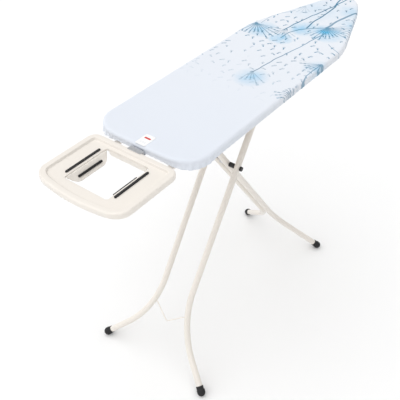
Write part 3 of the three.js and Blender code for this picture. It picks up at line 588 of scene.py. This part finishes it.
def loose_seeds(tree, place, x):
    """One small seed with a tuft in some cells of a scattered grid, thinning out to the wide end."""
    cells = texture(tree, "ShaderNodeTexVoronoi", place, 31.0, Randomness=0.85)
    cells.voronoi_dimensions = "2D"
    apart = tree.nodes.new("ShaderNodeVectorMath")
    apart.operation = "SUBTRACT"
    tree.links.new(place, apart.inputs[0])
    tree.links.new(cells.outputs["Position"], apart.inputs[1])
    u, v = flat_millimetres(tree, apart.outputs[0])
    tint = tree.nodes.new("ShaderNodeSeparateColor")
    tree.links.new(cells.outputs["Color"], tint.inputs[0])
    chance = Field(tree, tint.outputs[0])
    turn = Field(tree, tint.outputs[1]) * 2.4 + 2.2
    cosine = turn.math("COSINE")
    sine = turn.math("SINE")
    along = u * cosine + v * sine
    across = (v * cosine - u * sine).math("ABSOLUTE")
    stem = across.below(0.8, 0.5) * (along - 4.5).math("ABSOLUTE").below(4.6, 0.8)
    seed = across.below(2.2, 0.6) * (along - 9.6).math("ABSOLUTE").below(3.9, 0.8)
    away = (u * u + v * v).math("SQRT")
    spin = (v.math("ARCTAN2", u) * 11 / (2 * math.pi)).math("FRACT")
    hairs = (spin - 0.5).math("ABSOLUTE").below(0.2, 0.2)
    tuft = away.below(5.4, 1.6) * hairs
    kept = chance.below(0.62, 0.02) * ((x - 380) / 330).clamped()
    return stem.math("MAXIMUM", seed).math("MAXIMUM", tuft * 0.85) * kept


def cotton_print():
    """Printed cotton: a bluish ground, soft washes, and stalks and seeds in blue-green ink."""
    material, tree, shader = new_material("cover_cotton", COTTON, 0.86, sheen=0.18)
    shader.inputs["Sheen Roughness"].default_value = 0.45
    place = position(tree)
    wobble = texture(tree, "ShaderNodeTexNoise", place, 9, Detail=2.0)
    sway = (Field(tree, wobble.outputs[0]) - 0.5) * 26
    x, y = flat_millimetres(tree, place)
    x = x - END_X / MM
    y = y + sway
    cloud = texture(tree, "ShaderNodeTexNoise", place, 16, Detail=4.0, Roughness=0.6)
    patchy = (Field(tree, cloud.outputs[0]) * 2.2 - 0.55).clamped()

    wash = None
    for centre, reach, strength in WASHES:
        away = distance_to(x, y, centre)[2]
        spot = away.below(0.55 * reach, reach) * strength
        wash = spot if wash is None else wash.math("MAXIMUM", spot)
    wash = wash * patchy * 1.8

    ink = None
    for corners, half, strength in STALKS:
        for start, end in zip(corners, corners[1:]):
            line = distance_to_line(x, y, start, end).below(half, 1.2) * strength
            ink = line if ink is None else ink.math("MAXIMUM", line)
    for head in SEED_HEADS:
        ink = ink.math("MAXIMUM", seed_head(x, y, *head))
    ink = ink.math("MAXIMUM", loose_seeds(tree, place, x))
    faded = (Field(tree, cloud.outputs[0]) * 1.1 + 0.6).clamped()
    ink = (ink * faded).clamped()

    broad = texture(tree, "ShaderNodeTexNoise", place, 3.2, Detail=2.0)
    pale = ((x * -1 + 760) / 900).clamped() * 0.32 + Field(tree, broad.outputs[0]) * 0.12
    ground = color_mix(tree, pale.socket, COTTON, PALE_BLUE)
    washed = color_mix(tree, wash.clamped().socket, ground, WASH_BLUE)
    hue = texture(tree, "ShaderNodeTexNoise", place, 7, Detail=1.0)
    ink_color = color_mix(tree, hue.outputs[0], TEAL, CYAN)
    printed = color_mix(tree, ink.socket, washed, ink_color)
    threads = texture(tree, "ShaderNodeTexNoise", stretched(tree, place, (260, 2600, 900)), 1.0, Detail=2.0)
    tree.links.new(
        color_mix(tree, spread(tree, threads.outputs[0], 0.0, 0.10), printed, srgb(205, 214, 226)),
        shader.inputs["Base Color"],
    )
    tree.links.new(spread(tree, threads.outputs[0], 0.78, 0.92), shader.inputs["Roughness"])
    weave = woven(tree, place, 0.42 * MM)
    bump = add_bump(tree, shader, weave.socket, 0.12 * MM, 0.5)
    slub = texture(tree, "ShaderNodeTexNoise", place, 120, Detail=3.0)
    add_bump(tree, shader, slub.outputs[0], 0.25 * MM, 0.35, under=bump)
    return material


def braided_cord():
    """White elastic cord with a fine braid."""
    material, tree, shader = new_material("braided_cord", srgb(238, 238, 236), 0.9, sheen=0.25)
    place = position(tree)
    vary(tree, shader, srgb(236, 236, 233), 0.05, place, 90)
    strands = texture(tree, "ShaderNodeTexVoronoi", place, 1500)
    add_bump(tree, shader, strands.outputs["Distance"], 0.25 * MM, 0.9)
    return material


def woven_label():
    """Plain white woven patch with one slim red bar across it, near the end that faces the nose."""
    material, tree, shader = new_material("label_weave", srgb(246, 246, 246), 0.7, sheen=0.1)
    low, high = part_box("care_label")
    place = position(tree)
    x, y = flat_millimetres(tree, place)
    middle = (low + high) / 2 / MM
    across = (y - middle.y).math("ABSOLUTE").below(0.30 * (high.y - low.y) / MM, 0.3)
    bar = (x - (middle.x + 9)).math("ABSOLUTE").below(3.4, 0.3) * across
    rule = (x - (middle.x - 10)).math("ABSOLUTE").below(0.5, 0.3) * across
    second = (x - (middle.x - 14)).math("ABSOLUTE").below(0.5, 0.3) * across
    thread = texture(tree, "ShaderNodeTexNoise", stretched(tree, place, (300, 3000, 900)), 1.0, Detail=1.0)
    shade = spread(tree, thread.outputs[0], 0.0, 0.3)
    white = color_mix(tree, shade, srgb(248, 248, 248), srgb(226, 228, 230))
    ruled = color_mix(tree, (rule.math("MAXIMUM", second) * 0.5).socket, white, srgb(150, 156, 164))
    tree.links.new(color_mix(tree, bar.socket, ruled, srgb(206, 52, 44)), shader.inputs["Base Color"])
    weave = woven(tree, place, 0.3 * MM)
    add_bump(tree, shader, weave.socket, 0.08 * MM, 0.6)
    return material


looks = {
    "cover": cotton_print(),
    "pad": felt("felt_pad", srgb(226, 224, 218)),
    "cord": braided_cord(),
    "label": woven_label(),
    "coated_steel": powder_coat("coated_steel", srgb(234, 228, 220), 0.36),
    "tray": powder_coat("coated_tray", srgb(235, 229, 221), 0.33),
    "plain_steel": plated_steel("zinc_steel"),
    "black_rubber": moulded("black_rubber", srgb(20, 20, 22), 0.6, 1100, 0.1 * MM),
    "black_plastic": moulded("black_plastic", srgb(26, 26, 29), 0.42, 1500, 0.05 * MM),
}

NODE_LOOKS = {
    "coated_steel": "mesh_top edge_rim cross_member_wide cross_member_middle cross_member_nose "
    "slide_rail_left slide_rail_right tube_brace_upper tube_brace_lower rest_arm_left rest_arm_right "
    "height_crossbar",
    "plain_steel": "scissor_axle axle_sleeve hinge_axle hinge_sleeve axle_clip_left axle_clip_right "
    "height_rack height_pawl lever_bearing_inner lever_bearing_outer lever_shaft lever_spring "
    "release_lever rest_tongue arm_screw_member_left arm_screw_member_right arm_screw_rest_left "
    "arm_screw_rest_right",
    "black_rubber": "grip_strip_left grip_strip_right slope_strip_left slope_strip_right",
    "black_plastic": "pivot_bush_left pivot_bush_right pivot_cap_left pivot_cap_right tube_spacer_block "
    "rail_roller_left rail_roller_right lever_grip hinge_spacer_left hinge_spacer_right",
}
ROUNDED_EDGES = {"lever_grip": 1.6, "tube_spacer_block": 1.4, "pivot_cap_left": 1.2, "pivot_cap_right": 1.2}
USUAL_EDGE = 0.4  # millimetres, as above
UNBEVELLED = ("mesh_top", "lever_spring", "edge_rim")


def paint(piece, look):
    piece.data.materials.clear()
    piece.data.materials.append(looks[look])


def new_piece(name, mesh, body, look, *replaced):
    piece = new_object(name, mesh, body, replaced)
    paint(piece, look)
    return piece


for look, names in NODE_LOOKS.items():
    for name in names.split():
        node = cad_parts[name]
        paint(node, look)
        if name not in UNBEVELLED:
            bevel(node, ROUNDED_EDGES.get(name, USUAL_EDGE) * MM)
        smooth_by_angle(node)


# ---------- cover, pad and drawcord ----------
AROUND = 1500
outline = board_outline(AROUND)
outward = normals_out(outline)
steps = np.linalg.norm(np.roll(outline, -1, 0) - outline, axis=1)
around = np.concatenate([[0], np.cumsum(steps)[:-1]])
perimeter = steps.sum()
turning = np.abs(np.cross(outward, np.roll(outward, -1, 0))) / steps
BLUR_REACH = 30  # points to each side
blur = np.hanning(2 * BLUR_REACH + 1)
wrapped = np.concatenate([turning[-BLUR_REACH:], turning, turning[:BLUR_REACH]])
curving = np.convolve(wrapped, blur / blur.sum(), "valid")
SHARP_CURVE = 11.0  # radians per metre at which the hem is fully gathered
GATHERED = np.clip(curving / SHARP_CURVE, 0, 1)  # 1 at the corners and the nose


def waves(length, seed):
    """A closed, uneven wave along the outline, with gathers about length apart, and its strength."""
    rng = np.random.default_rng(seed)
    share = around / perimeter * 2 * np.pi
    drift = sum(rng.uniform(0.3, 1) * np.sin(k * share + rng.uniform(0, 6.3)) for k in (3, 5, 8, 13, 21))
    count = round(perimeter / length)
    height = 0.65 + 0.35 * sum(np.sin(k * share + rng.uniform(0, 6.3)) for k in (7, 12, 19, 31)) / 2
    return np.sin(count * share + 1.1 * drift), np.clip(height, 0.15, 1.2)


x_along = outline[:, 0] - END_X
y_away = np.abs(outline[:, 1])


def near(x, y, reach):
    """1 where the outline passes a point of the plan, fading over reach. Both sides of the board count."""
    return np.exp(-((x_along - x) ** 2 + (y_away - y) ** 2) / (2 * reach**2))


def rising(value, low, high):
    """0 up to low, 1 from high on, with an even change between."""
    share = np.clip((value - low) / (high - low), 0, 1)
    return share * share * (3 - 2 * share)


# the cover's side is shallower at the middle of the wide end and hangs lower at its two corners
SKIRT = 22.7 * MM + 2.6 * MM * rising(y_away + x_along, 0.05, 0.16) + 8.0 * MM * near(0.03, 0.165, 0.045)
fold, fold_height = waves(length=0.021, seed=4)
pucker, pucker_height = waves(length=0.0088, seed=9)
FOLD = fold * fold_height * (0.6 * MM + 2.4 * MM * GATHERED)
PUCKER = pucker * pucker_height * (0.45 * MM + 1.3 * MM * GATHERED)


def ring(inset, height):
    """Points at a distance in from the outline (negative is out) and at a height."""
    flat = outline - outward * np.broadcast_to(inset, AROUND)[:, None]
    return np.column_stack([flat, np.broadcast_to(height, AROUND)])


SPINE = (160 * MM, 1020 * MM)  # where the rings' middle line starts and ends, from the wide end


def spine_under(edge):
    """Each point of a ring moved to the board's middle line, at the ring's own height."""
    along = np.clip(edge[:, 0], END_X + SPINE[0], END_X + SPINE[1])
    return np.column_stack([along, np.zeros(AROUND), edge[:, 2]])


def cover_rows():
    """From the middle of the top, over the edge, down the skirt and round the drawcord."""
    rows = []
    edge = ring(COVER_EDGE, TOP)
    spine = spine_under(edge)
    for share in (0, 0.3, 0.55, 0.75, 0.87, 0.94, 0.975):
        rows.append(spine + (edge - spine) * share)
    for turn in np.linspace(0, np.pi / 2, 8):
        drop = COVER_EDGE * (1 - np.cos(turn))
        rows.append(ring(COVER_EDGE * (1 - np.sin(turn)) - FOLD * 0.12 * np.sin(turn), TOP - drop))
    for share in np.linspace(0.15, 1, 7):
        depth = COVER_EDGE + (SKIRT - HEM_FOLD - COVER_EDGE) * share
        slack = 0.9 * MM * math.sin(math.pi * share)
        rows.append(ring(slack - FOLD * (0.12 + 0.88 * share) - PUCKER * share**3 * 0.6, TOP - depth))
    for turn in np.linspace(0.35, np.pi / 2, 4):
        inset = HEM_FOLD * (1 - np.cos(turn)) - FOLD * math.cos(turn) - PUCKER * 0.5
        rows.append(ring(inset, TOP - SKIRT + HEM_FOLD * (1 - np.sin(turn)) + PUCKER * 0.3))
    for inset in (7, 11.5, 15.5, 18):
        rows.append(ring(inset * MM, TOP - SKIRT + PUCKER * (0.4 + inset / 30)))
    for turn in np.linspace(-0.35 * np.pi, 1.1 * np.pi, 10):
        inset = CORD_INSET + CORD_CASING * math.sin(turn)
        rows.append(ring(inset, TOP - SKIRT + CORD_CASING * (1 - math.cos(turn)) + PUCKER))
    return rows


WELD = 2e-5  # points of the cover and the pad that are closer than this are joined
cover_mesh = ring_mesh("cover", cover_rows(), WELD)
wrinkles = np.array([v.co for v in cover_mesh.vertices])
on_top = wrinkles[:, 2] > TOP - 2 * MM
for i in np.flatnonzero(on_top):
    x, y, _ = wrinkles[i]
    soft = noise.noise(Vector((x * 9, y * 9, 1.7))) * 0.9 + noise.noise(Vector((x * 28, y * 28, 5.1))) * 0.35
    wrinkles[i, 2] += soft * 0.7 * MM - 0.3 * MM
cover_mesh.vertices.foreach_set("co", wrinkles.ravel())
cover = new_piece("cover", cover_mesh, "board", "cover", "cotton_cover")
cloth = cover.modifiers.new("cloth", "SOLIDIFY")
cloth.thickness = CLOTH
cloth.offset = -1


def pad_rows():
    """From the middle of the pad's top, round its edge, to the middle of its underside."""
    rows = []
    pad_low, pad_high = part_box("foam_underlay")
    half = (pad_high.z - pad_low.z) / 2
    middle = (pad_high.z + pad_low.z) / 2
    edge_inset = pad_low.x - END_X
    for side in (1, -1):
        edge = ring(edge_inset + half, middle + side * half)
        spine = spine_under(edge)
        flat = [spine + (edge - spine) * share for share in (0, 0.45, 0.8, 0.95)]
        turns = [
            ring(edge_inset + half * (1 - math.sin(t)), middle + side * half * math.cos(t))
            for t in np.linspace(0.2, 1.3, 4)
        ]
        part = flat + turns
        rows += part if side > 0 else part[::-1]
    return rows


underlay = new_piece("underlay", ring_mesh("underlay", pad_rows(), WELD), "board", "pad", "foam_underlay")

CORD_SIDES = 8
cord_line = ring(CORD_INSET, TOP - SKIRT + CORD_CASING + PUCKER)
cord_rings = []
inward = -np.column_stack([outward, np.zeros(AROUND)])
up = np.array([0, 0, 1])
for k in range(CORD_SIDES):
    turn = 2 * math.pi * k / CORD_SIDES
    strand = CORD_RADIUS * (1 + 0.12 * np.sin(2 * np.pi * around / BRAID_PITCH + turn * 2))
    cord_rings.append(cord_line + strand[:, None] * (math.cos(turn) * inward + math.sin(turn) * up))
cord_mesh = ring_mesh("drawcord", cord_rings, closed=True)
new_piece("drawcord", cord_mesh, "board", "cord", "cover_drawcord")


# ---------- label ----------
def rounded_rectangle(low, high, radius, steps=6):
    """The corner points of a rectangle with rounded corners, from its +X, -Y corner."""
    points = []
    corners = [(high[0], low[1], -90), (high[0], high[1], 0), (low[0], high[1], 90), (low[0], low[1], 180)]
    for x, y, start in corners:
        inward_x = x - radius if x == high[0] else x + radius
        inward_y = y - radius if y == high[1] else y + radius
        for k in range(steps + 1):
            turn = math.radians(start + 90 * k / steps)
            points.append((inward_x + radius * math.cos(turn), inward_y + radius * math.sin(turn)))
    return np.array(points)


LABEL_AROUND = 120
LABEL_CORNER = 3.2 * MM
LABEL_TOP = TOP + 0.62 * MM
# how far in from its edge and how high above the cotton, in millimetres; the groove is where it is sewn
LABEL_PROFILE = [(0.0, -0.25), (0.0, 0.35), (0.25, 0.6), (1.6, 0.62), (2.0, 0.5), (2.4, 0.5), (2.8, 0.62)]
STITCHES = 72
STITCH_INSET = 2.2 * MM
STITCH_HALF_LENGTH = 0.75 * MM
STITCH_RADIUS = 0.2 * MM

label_low, label_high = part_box("care_label")
label_edge = resample(rounded_rectangle(label_low, label_high, LABEL_CORNER), LABEL_AROUND)
label_out = normals_out(label_edge)
label_rings = [
    np.column_stack([label_edge - label_out * inset * MM, np.full(LABEL_AROUND, TOP + height * MM)])
    for inset, height in LABEL_PROFILE
]
label_inner = label_rings[-1]
label_middle = np.array([(label_low.x + label_high.x) / 2, (label_low.y + label_high.y) / 2, LABEL_TOP])
for share in (0.6, 0.25, 0.0):
    label_rings.append(label_middle + (label_inner - label_middle) * share)
new_piece("label", ring_mesh("label", label_rings), "board", "label", "care_label")


def add_stitch(points, faces, middle, along, rings=5, sides=6):
    """Adds one small rounded stitch to a growing mesh."""
    start = len(points)
    above = Vector((0, 0, 1))
    side = above.cross(along).normalized()
    for row in range(rings):
        t = 2 * row / (rings - 1) - 1
        reach = STITCH_RADIUS * math.sqrt(max(0.05, 1 - t * t))
        for k in range(sides):
            turn = 2 * math.pi * k / sides
            off_line = side * (math.cos(turn) * reach) + above * (math.sin(turn) * reach)
            points.append(middle + along * (t * STITCH_HALF_LENGTH) + off_line)
    for face in rings_to_faces(rings, sides):
        faces.append(tuple(start + i for i in face))
    last = start + (rings - 1) * sides
    faces.append(tuple(range(start, start + sides)))
    faces.append(tuple(range(last, last + sides)))


points, faces = [], []
stitch_line = resample(label_edge - label_out * STITCH_INSET, STITCHES)
for here, ahead in zip(stitch_line, np.roll(stitch_line, -1, axis=0)):
    direction = Vector((ahead[0] - here[0], ahead[1] - here[1], 0)).normalized()
    add_stitch(points, faces, Vector((here[0], here[1], LABEL_TOP)), direction)
stitch_mesh = mesh_from("label_stitches", points, faces)
tidy_mesh(stitch_mesh)
new_piece("label_stitches", stitch_mesh, "board", "label")


# ---------- legs, caps and wire ----------
def leg_path(pivot, angle, heading, flare, side):
    """A leg's centre line: straight, one bend outwards, straight to the foot."""
    down = Vector((heading * math.cos(angle), 0, -math.sin(angle)))
    length = (pivot.z - CAP_RADIUS) / math.sin(angle)
    run = flare["radius"] * math.sin(flare["angle"])
    out = flare["radius"] * (1 - math.cos(flare["angle"]))
    last = (flare["foot"] - flare["spacing"] - out) / math.tan(flare["angle"])
    bend = length - last - run
    stations = [(along, 0) for along in np.linspace(-TUBE_TOP, bend, 8)]
    for turn in np.linspace(0, flare["angle"], 29)[1:]:
        stations.append((bend + flare["radius"] * math.sin(turn), flare["radius"] * (1 - math.cos(turn))))
    bend_end = np.array(stations[-1])
    foot = np.array([length, flare["foot"] - flare["spacing"]])
    for share in (0.25, 0.5, 0.75, 1):
        stations.append(bend_end + (foot - bend_end) * share)
    return [
        Vector((pivot.x, 0, pivot.z)) + down * along + Vector((0, side * (flare["spacing"] + away), 0))
        for along, away in stations
    ]


def aim(mesh, place, direction):
    """Turns a mesh made along +X to a direction and moves it to its place."""
    mesh.transform(Matrix.Translation(place) @ direction.to_track_quat("X", "Z").to_matrix().to_4x4())


BALL = [(CAP_RADIUS * math.sin(t), CAP_RADIUS * math.cos(t)) for t in np.linspace(math.pi / 2, 0, 12)]
# up the leg from the ball's middle, and radius, in millimetres: shoulder, two grooves, lip, socket
CAP_WALL = [
    (3.0, 14.5), (7.4, 14.5), (8.4, 14.2), (9.2, 13.2), (10.0, 12.9),
    (12.0, 12.9), (12.5, 12.5), (13.5, 12.5), (14.0, 12.9),
    (16.0, 12.9), (16.5, 12.5), (17.5, 12.5), (18.0, 12.9),
    (20.8, 12.9), (21.7, 12.5), (22.0, 11.9), (21.8, 11.25),
    (16.0, 11.2), (1.0, 11.2), (0.4, 10.6), (0.3, 0.0),
]
CAP_PROFILE = BALL + [(-along * MM, radius * MM) for along, radius in CAP_WALL]

legs = {
    "outer": (crossbar, OUTER_ANGLE, -1, OUTER_FLARE, "outer_legs"),
    "inner": (hinge, INNER_ANGLE, 1, INNER_FLARE, "inner_legs"),
}
for word, (pivot, angle, heading, flare, body) in legs.items():
    for hand, side in SIDES.items():
        path = leg_path(pivot, angle, heading, flare, side)
        tube = tube_mesh(f"leg_{word}_{hand}", path, TUBE_RADIUS, 32, TUBE_WALL)
        leg = new_piece(f"leg_{word}_{hand}", tube, body, "coated_steel", f"leg_tube_{word}_{hand}")
        smooth_by_angle(leg)
        cap_mesh = lathe(f"cap_{word}_{hand}", CAP_PROFILE)
        aim(cap_mesh, path[-1], (path[-1] - path[-2]).normalized())
        cap = new_piece(f"cap_{word}_{hand}", cap_mesh, body, "black_rubber", f"foot_cap_{word}_{hand}")
        smooth_by_angle(cap, 55)


def rounded_path(corners, radius, count=9):
    """A path through corners, with each inner corner turned into a smooth bend."""
    path = [corners[0]]
    for before, here, after in zip(corners, corners[1:], corners[2:]):
        start = here + (before - here).normalized() * radius
        end = here + (after - here).normalized() * radius
        path += [Vector(p) for p in np.vstack([[start], bezier(start, here, end, count=count)])]
    return path + [corners[-1]]


down_leg = Vector((-math.cos(OUTER_ANGLE), 0, -math.sin(OUTER_ANGLE)))
wire_axis = Vector((crossbar.x, 0, crossbar.z))
wire_axis += down_leg * ((crossbar.z - WIRE_HEIGHT) / math.sin(OUTER_ANGLE))
wire_tip = wire_axis + down_leg * WIRE_DROP
wire_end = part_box("transport_wire")[1].y
wire_inside = wire_end - 2 * MM - TUBE_RADIUS - 5 * MM  # where it leaves its axis, clear of the tube
tip_half = 5 * MM
wire_places = [
    (wire_axis, -wire_end),
    (wire_axis, -wire_inside),
    (wire_tip, -tip_half),
    (wire_tip, tip_half),
    (wire_axis, wire_inside),
    (wire_axis, wire_end),
]
wire_corners = [Vector((place.x, y, place.z)) for place, y in wire_places]
wire_mesh = tube_mesh("lock_wire", rounded_path(wire_corners, WIRE_BEND), WIRE_RADIUS, 16)
lock_wire = new_piece("lock_wire", wire_mesh, "transport_wire", "coated_steel", "transport_wire")
smooth_by_angle(lock_wire)


# ---------- iron rest ----------
REST_AROUND = 480
rest_edge = rest_outline(REST_AROUND)
rest_out = normals_out(rest_edge)
rest_top = tray_high.z
rest_floor = rest_top - REST_STEP + 0.15 * MM

window_board = tray_high.x - WINDOW_FROM_BOARD_SIDE
window_outer = tray_low.x + WINDOW_FROM_OUTER_SIDE
window_side = tray_high.y - WINDOW_FROM_ENDS


def rest_ring(inset, height):
    """The rest's outline at a distance in and at a height."""
    return np.column_stack([rest_edge - rest_out * inset, np.full(REST_AROUND, height)])


def arc_rows(inset, height, radius, start, end, count):
    """Rows round a bend in the sheet: the centre of the bend is at inset, height."""
    rows = []
    for turn in np.radians(np.linspace(start, end, count)):
        rows.append(rest_ring(inset - radius * math.cos(turn), height + radius * math.sin(turn)))
    return rows


def tray_rows():
    """From the bottom of the rest's side, over its rim and down the step to its floor."""
    rows = [rest_ring(1.2 * MM, rest_top - REST_SKIRT), rest_ring(0.3 * MM, rest_top - REST_SKIRT + 1.2 * MM)]
    rows += [rest_ring(0, rest_top - 12 * MM), rest_ring(0, rest_top - 8 * MM)]
    rows += arc_rows(5.5 * MM, rest_top - 5.5 * MM, 5.5 * MM, 0, 90, 8)
    rows += [rest_ring(10 * MM, rest_top), rest_ring(14 * MM, rest_top)]
    rows += arc_rows(17.0 * MM, rest_top - 2.0 * MM, 2.0 * MM, 90, 160, 5)
    rows += arc_rows(23.0 * MM, rest_floor + 2.0 * MM, 2.0 * MM, -20, -90, 5)
    rows += [rest_ring(25 * MM, rest_floor)]
    return rows


def window_loop(inset, height):
    """The edge of the rest's window, made smaller all round by inset, from the same side as the outline."""
    low = (window_outer + inset, -window_side + inset)
    high = (window_board - inset, window_side - inset)
    corner_steps = 6
    corners = rounded_rectangle(low, high, WINDOW_CORNER - inset, corner_steps)
    corners = np.roll(corners, -(corner_steps + 1), axis=0)
    loop = resample(np.vstack([[[high[0], 0]], corners]), REST_AROUND)
    return np.column_stack([loop, np.full(REST_AROUND, height)])


tray_rings = tray_rows()
floor_edge = tray_rings[-1]
window_edge = window_loop(-WINDOW_BEND, rest_floor)
for share in (0.12, 0.4, 0.75, 1):
    tray_rings.append(floor_edge * (1 - share) + window_edge * share)
for turn in np.radians(np.linspace(18, 90, 5)):
    drop = WINDOW_BEND * (1 - math.cos(turn))
    tray_rings.append(window_loop(-WINDOW_BEND * (1 - math.sin(turn)), rest_floor - drop))
tray_rings.append(window_loop(0, rest_floor - 4.5 * MM))
tray = new_piece("iron_rest", ring_mesh("iron_rest", tray_rings), "board", "tray", "iron_rest_tray")
pressing = tray.modifiers.new("sheet", "SOLIDIFY")
pressing.thickness = SHEET
pressing.offset = -1


def tab(name, corners):
    """A pressed flap of the rest: two corners on the sheet, then two free ones, which are rounded."""
    start, end, free_end, free_start = corners
    across, down_steps = 40, 10
    depth = (free_start - start).length
    radius = 0.4 * depth
    points, faces = [], []
    for row in range(down_steps + 1):
        for col in range(across + 1):
            s = col / across
            edge = min(s, 1 - s) * (free_end - free_start).length
            short = max(0.0, 1 - edge / radius)
            reach = row / down_steps * (1 - radius / depth * (1 - math.sqrt(1 - short**2)))
            points.append(start.lerp(free_start, reach).lerp(end.lerp(free_end, reach), s))
    for row in range(down_steps):
        for col in range(across):
            i = row * (across + 1) + col
            faces.append((i, i + 1, i + across + 2, i + across + 1))
    mesh = mesh_from(name, points, faces)
    tidy_mesh(mesh)
    piece = new_piece(name, mesh, "board", "tray")
    sheet = piece.modifiers.new("sheet", "SOLIDIFY")
    sheet.thickness = SHEET
    sheet.offset = 0


flap_top = rest_floor - 3.2 * MM
for hand, side in SIDES.items():
    y_top = side * (window_side + SHEET / 2 - 2.6 * MM)
    y_low = side * (window_side + SHEET / 2 - SLOPE_INSET)
    end_gap = 4 * MM
    tab(f"rest_slope_{hand}", [
        Vector((window_outer + end_gap, y_top, flap_top)),
        Vector((window_board - end_gap, y_top, flap_top)),
        Vector((window_board - SLOPE_SLANT, y_low, rest_floor - SLOPE_DEPTH)),
        Vector((window_outer + SLOPE_SLANT, y_low, rest_floor - SLOPE_DEPTH)),
    ])
for word, x in (("board", window_board - SHEET / 2), ("outer", window_outer + SHEET / 2)):
    reach = window_side - 8 * MM
    tab(f"rest_flange_{word}", [
        Vector((x, -reach, flap_top)),
        Vector((x, reach, flap_top)),
        Vector((x, reach - 3 * MM, rest_floor - WINDOW_FLANGE)),
        Vector((x, -reach + 3 * MM, rest_floor - WINDOW_FLANGE)),
    ])


# ---------- camera, light and floor ----------
def place_light(name, light, place, direction):
    """Puts a light in the scene, shining along a direction."""
    lamp = bpy.data.objects.new(name, light)
    lamp.location = place
    lamp.rotation_euler = Vector(direction).to_track_quat("-Z", "Y").to_euler()
    bpy.context.scene.collection.objects.link(lamp)


CAMERA_PLACE = (-1.5101, -0.9963, 1.9553)
CAMERA_FORWARD = (0.609667, 0.463321, -0.643148)
CAMERA_ROLL = -0.3
view = bpy.data.cameras.new("camera")
view.sensor_width = 36
view.lens = 57.284
view.shift_x = -0.00875
view.shift_y = -0.00275
view.clip_start = 0.05
camera = bpy.data.objects.new("camera", view)
turned = Vector(CAMERA_FORWARD).to_track_quat("-Z", "Y").to_matrix()
camera.rotation_euler = (turned @ Matrix.Rotation(math.radians(CAMERA_ROLL), 3, "Z")).to_euler()
camera.location = CAMERA_PLACE
bpy.context.scene.collection.objects.link(camera)
bpy.context.scene.camera = camera

sun = bpy.data.lights.new("overhead", "SUN")
sun.energy = 2.2
sun.angle = math.radians(95)
place_light("overhead", sun, (0, 0, 0), (0.28, -0.22, -1))

panel = bpy.data.lights.new("fill", "AREA")
panel.size = 2.2
panel.energy = 3
place_light("fill", panel, (-1.6, -2.6, 1.5), (1.6, 2.6, -0.9))

# The sky is bright at the horizon and dimmer overhead.
world = bpy.data.worlds.new("studio")
world.use_nodes = True
sky_tree = world.node_tree
sky = sky_tree.nodes["Background"]
sky.inputs["Color"].default_value = (1, 1, 1, 1)
upward = sky_tree.nodes.new("ShaderNodeSeparateXYZ")
sky_tree.links.new(sky_tree.nodes.new("ShaderNodeTexCoord").outputs["Generated"], upward.inputs[0])
brightness = Field(sky_tree, upward.outputs[2]).below(0.16, 0.3) * 0.44 + 0.46
sky_tree.links.new(brightness.socket, sky.inputs["Strength"])
bpy.context.scene.world = world
bpy.context.scene.view_settings.view_transform = "Standard"

FLOOR_REACH = 60
floor_mesh = bpy.data.meshes.new("floor")
floor_corners = [(x * FLOOR_REACH, y * FLOOR_REACH, 0) for x, y in ((-1, -1), (1, -1), (1, 1), (-1, 1))]
floor_mesh.from_pydata(floor_corners, [], [(0, 1, 2, 3)])
floor = bpy.data.objects.new("floor", floor_mesh)
bpy.context.scene.collection.objects.link(floor)
paper, paper_tree, paper_shader = new_material("floor_paper", (0.92, 0.92, 0.92), 0.9)
floor_clouds = texture(paper_tree, "ShaderNodeTexNoise", position(paper_tree), 2.0, Detail=2.0)
paper_tree.links.new(
    color_mix(paper_tree, floor_clouds.outputs[0], (0.915, 0.915, 0.915), (0.925, 0.925, 0.925)),
    paper_shader.inputs["Base Color"],
)
floor.data.materials.append(paper)

bpy.context.view_layer.update()
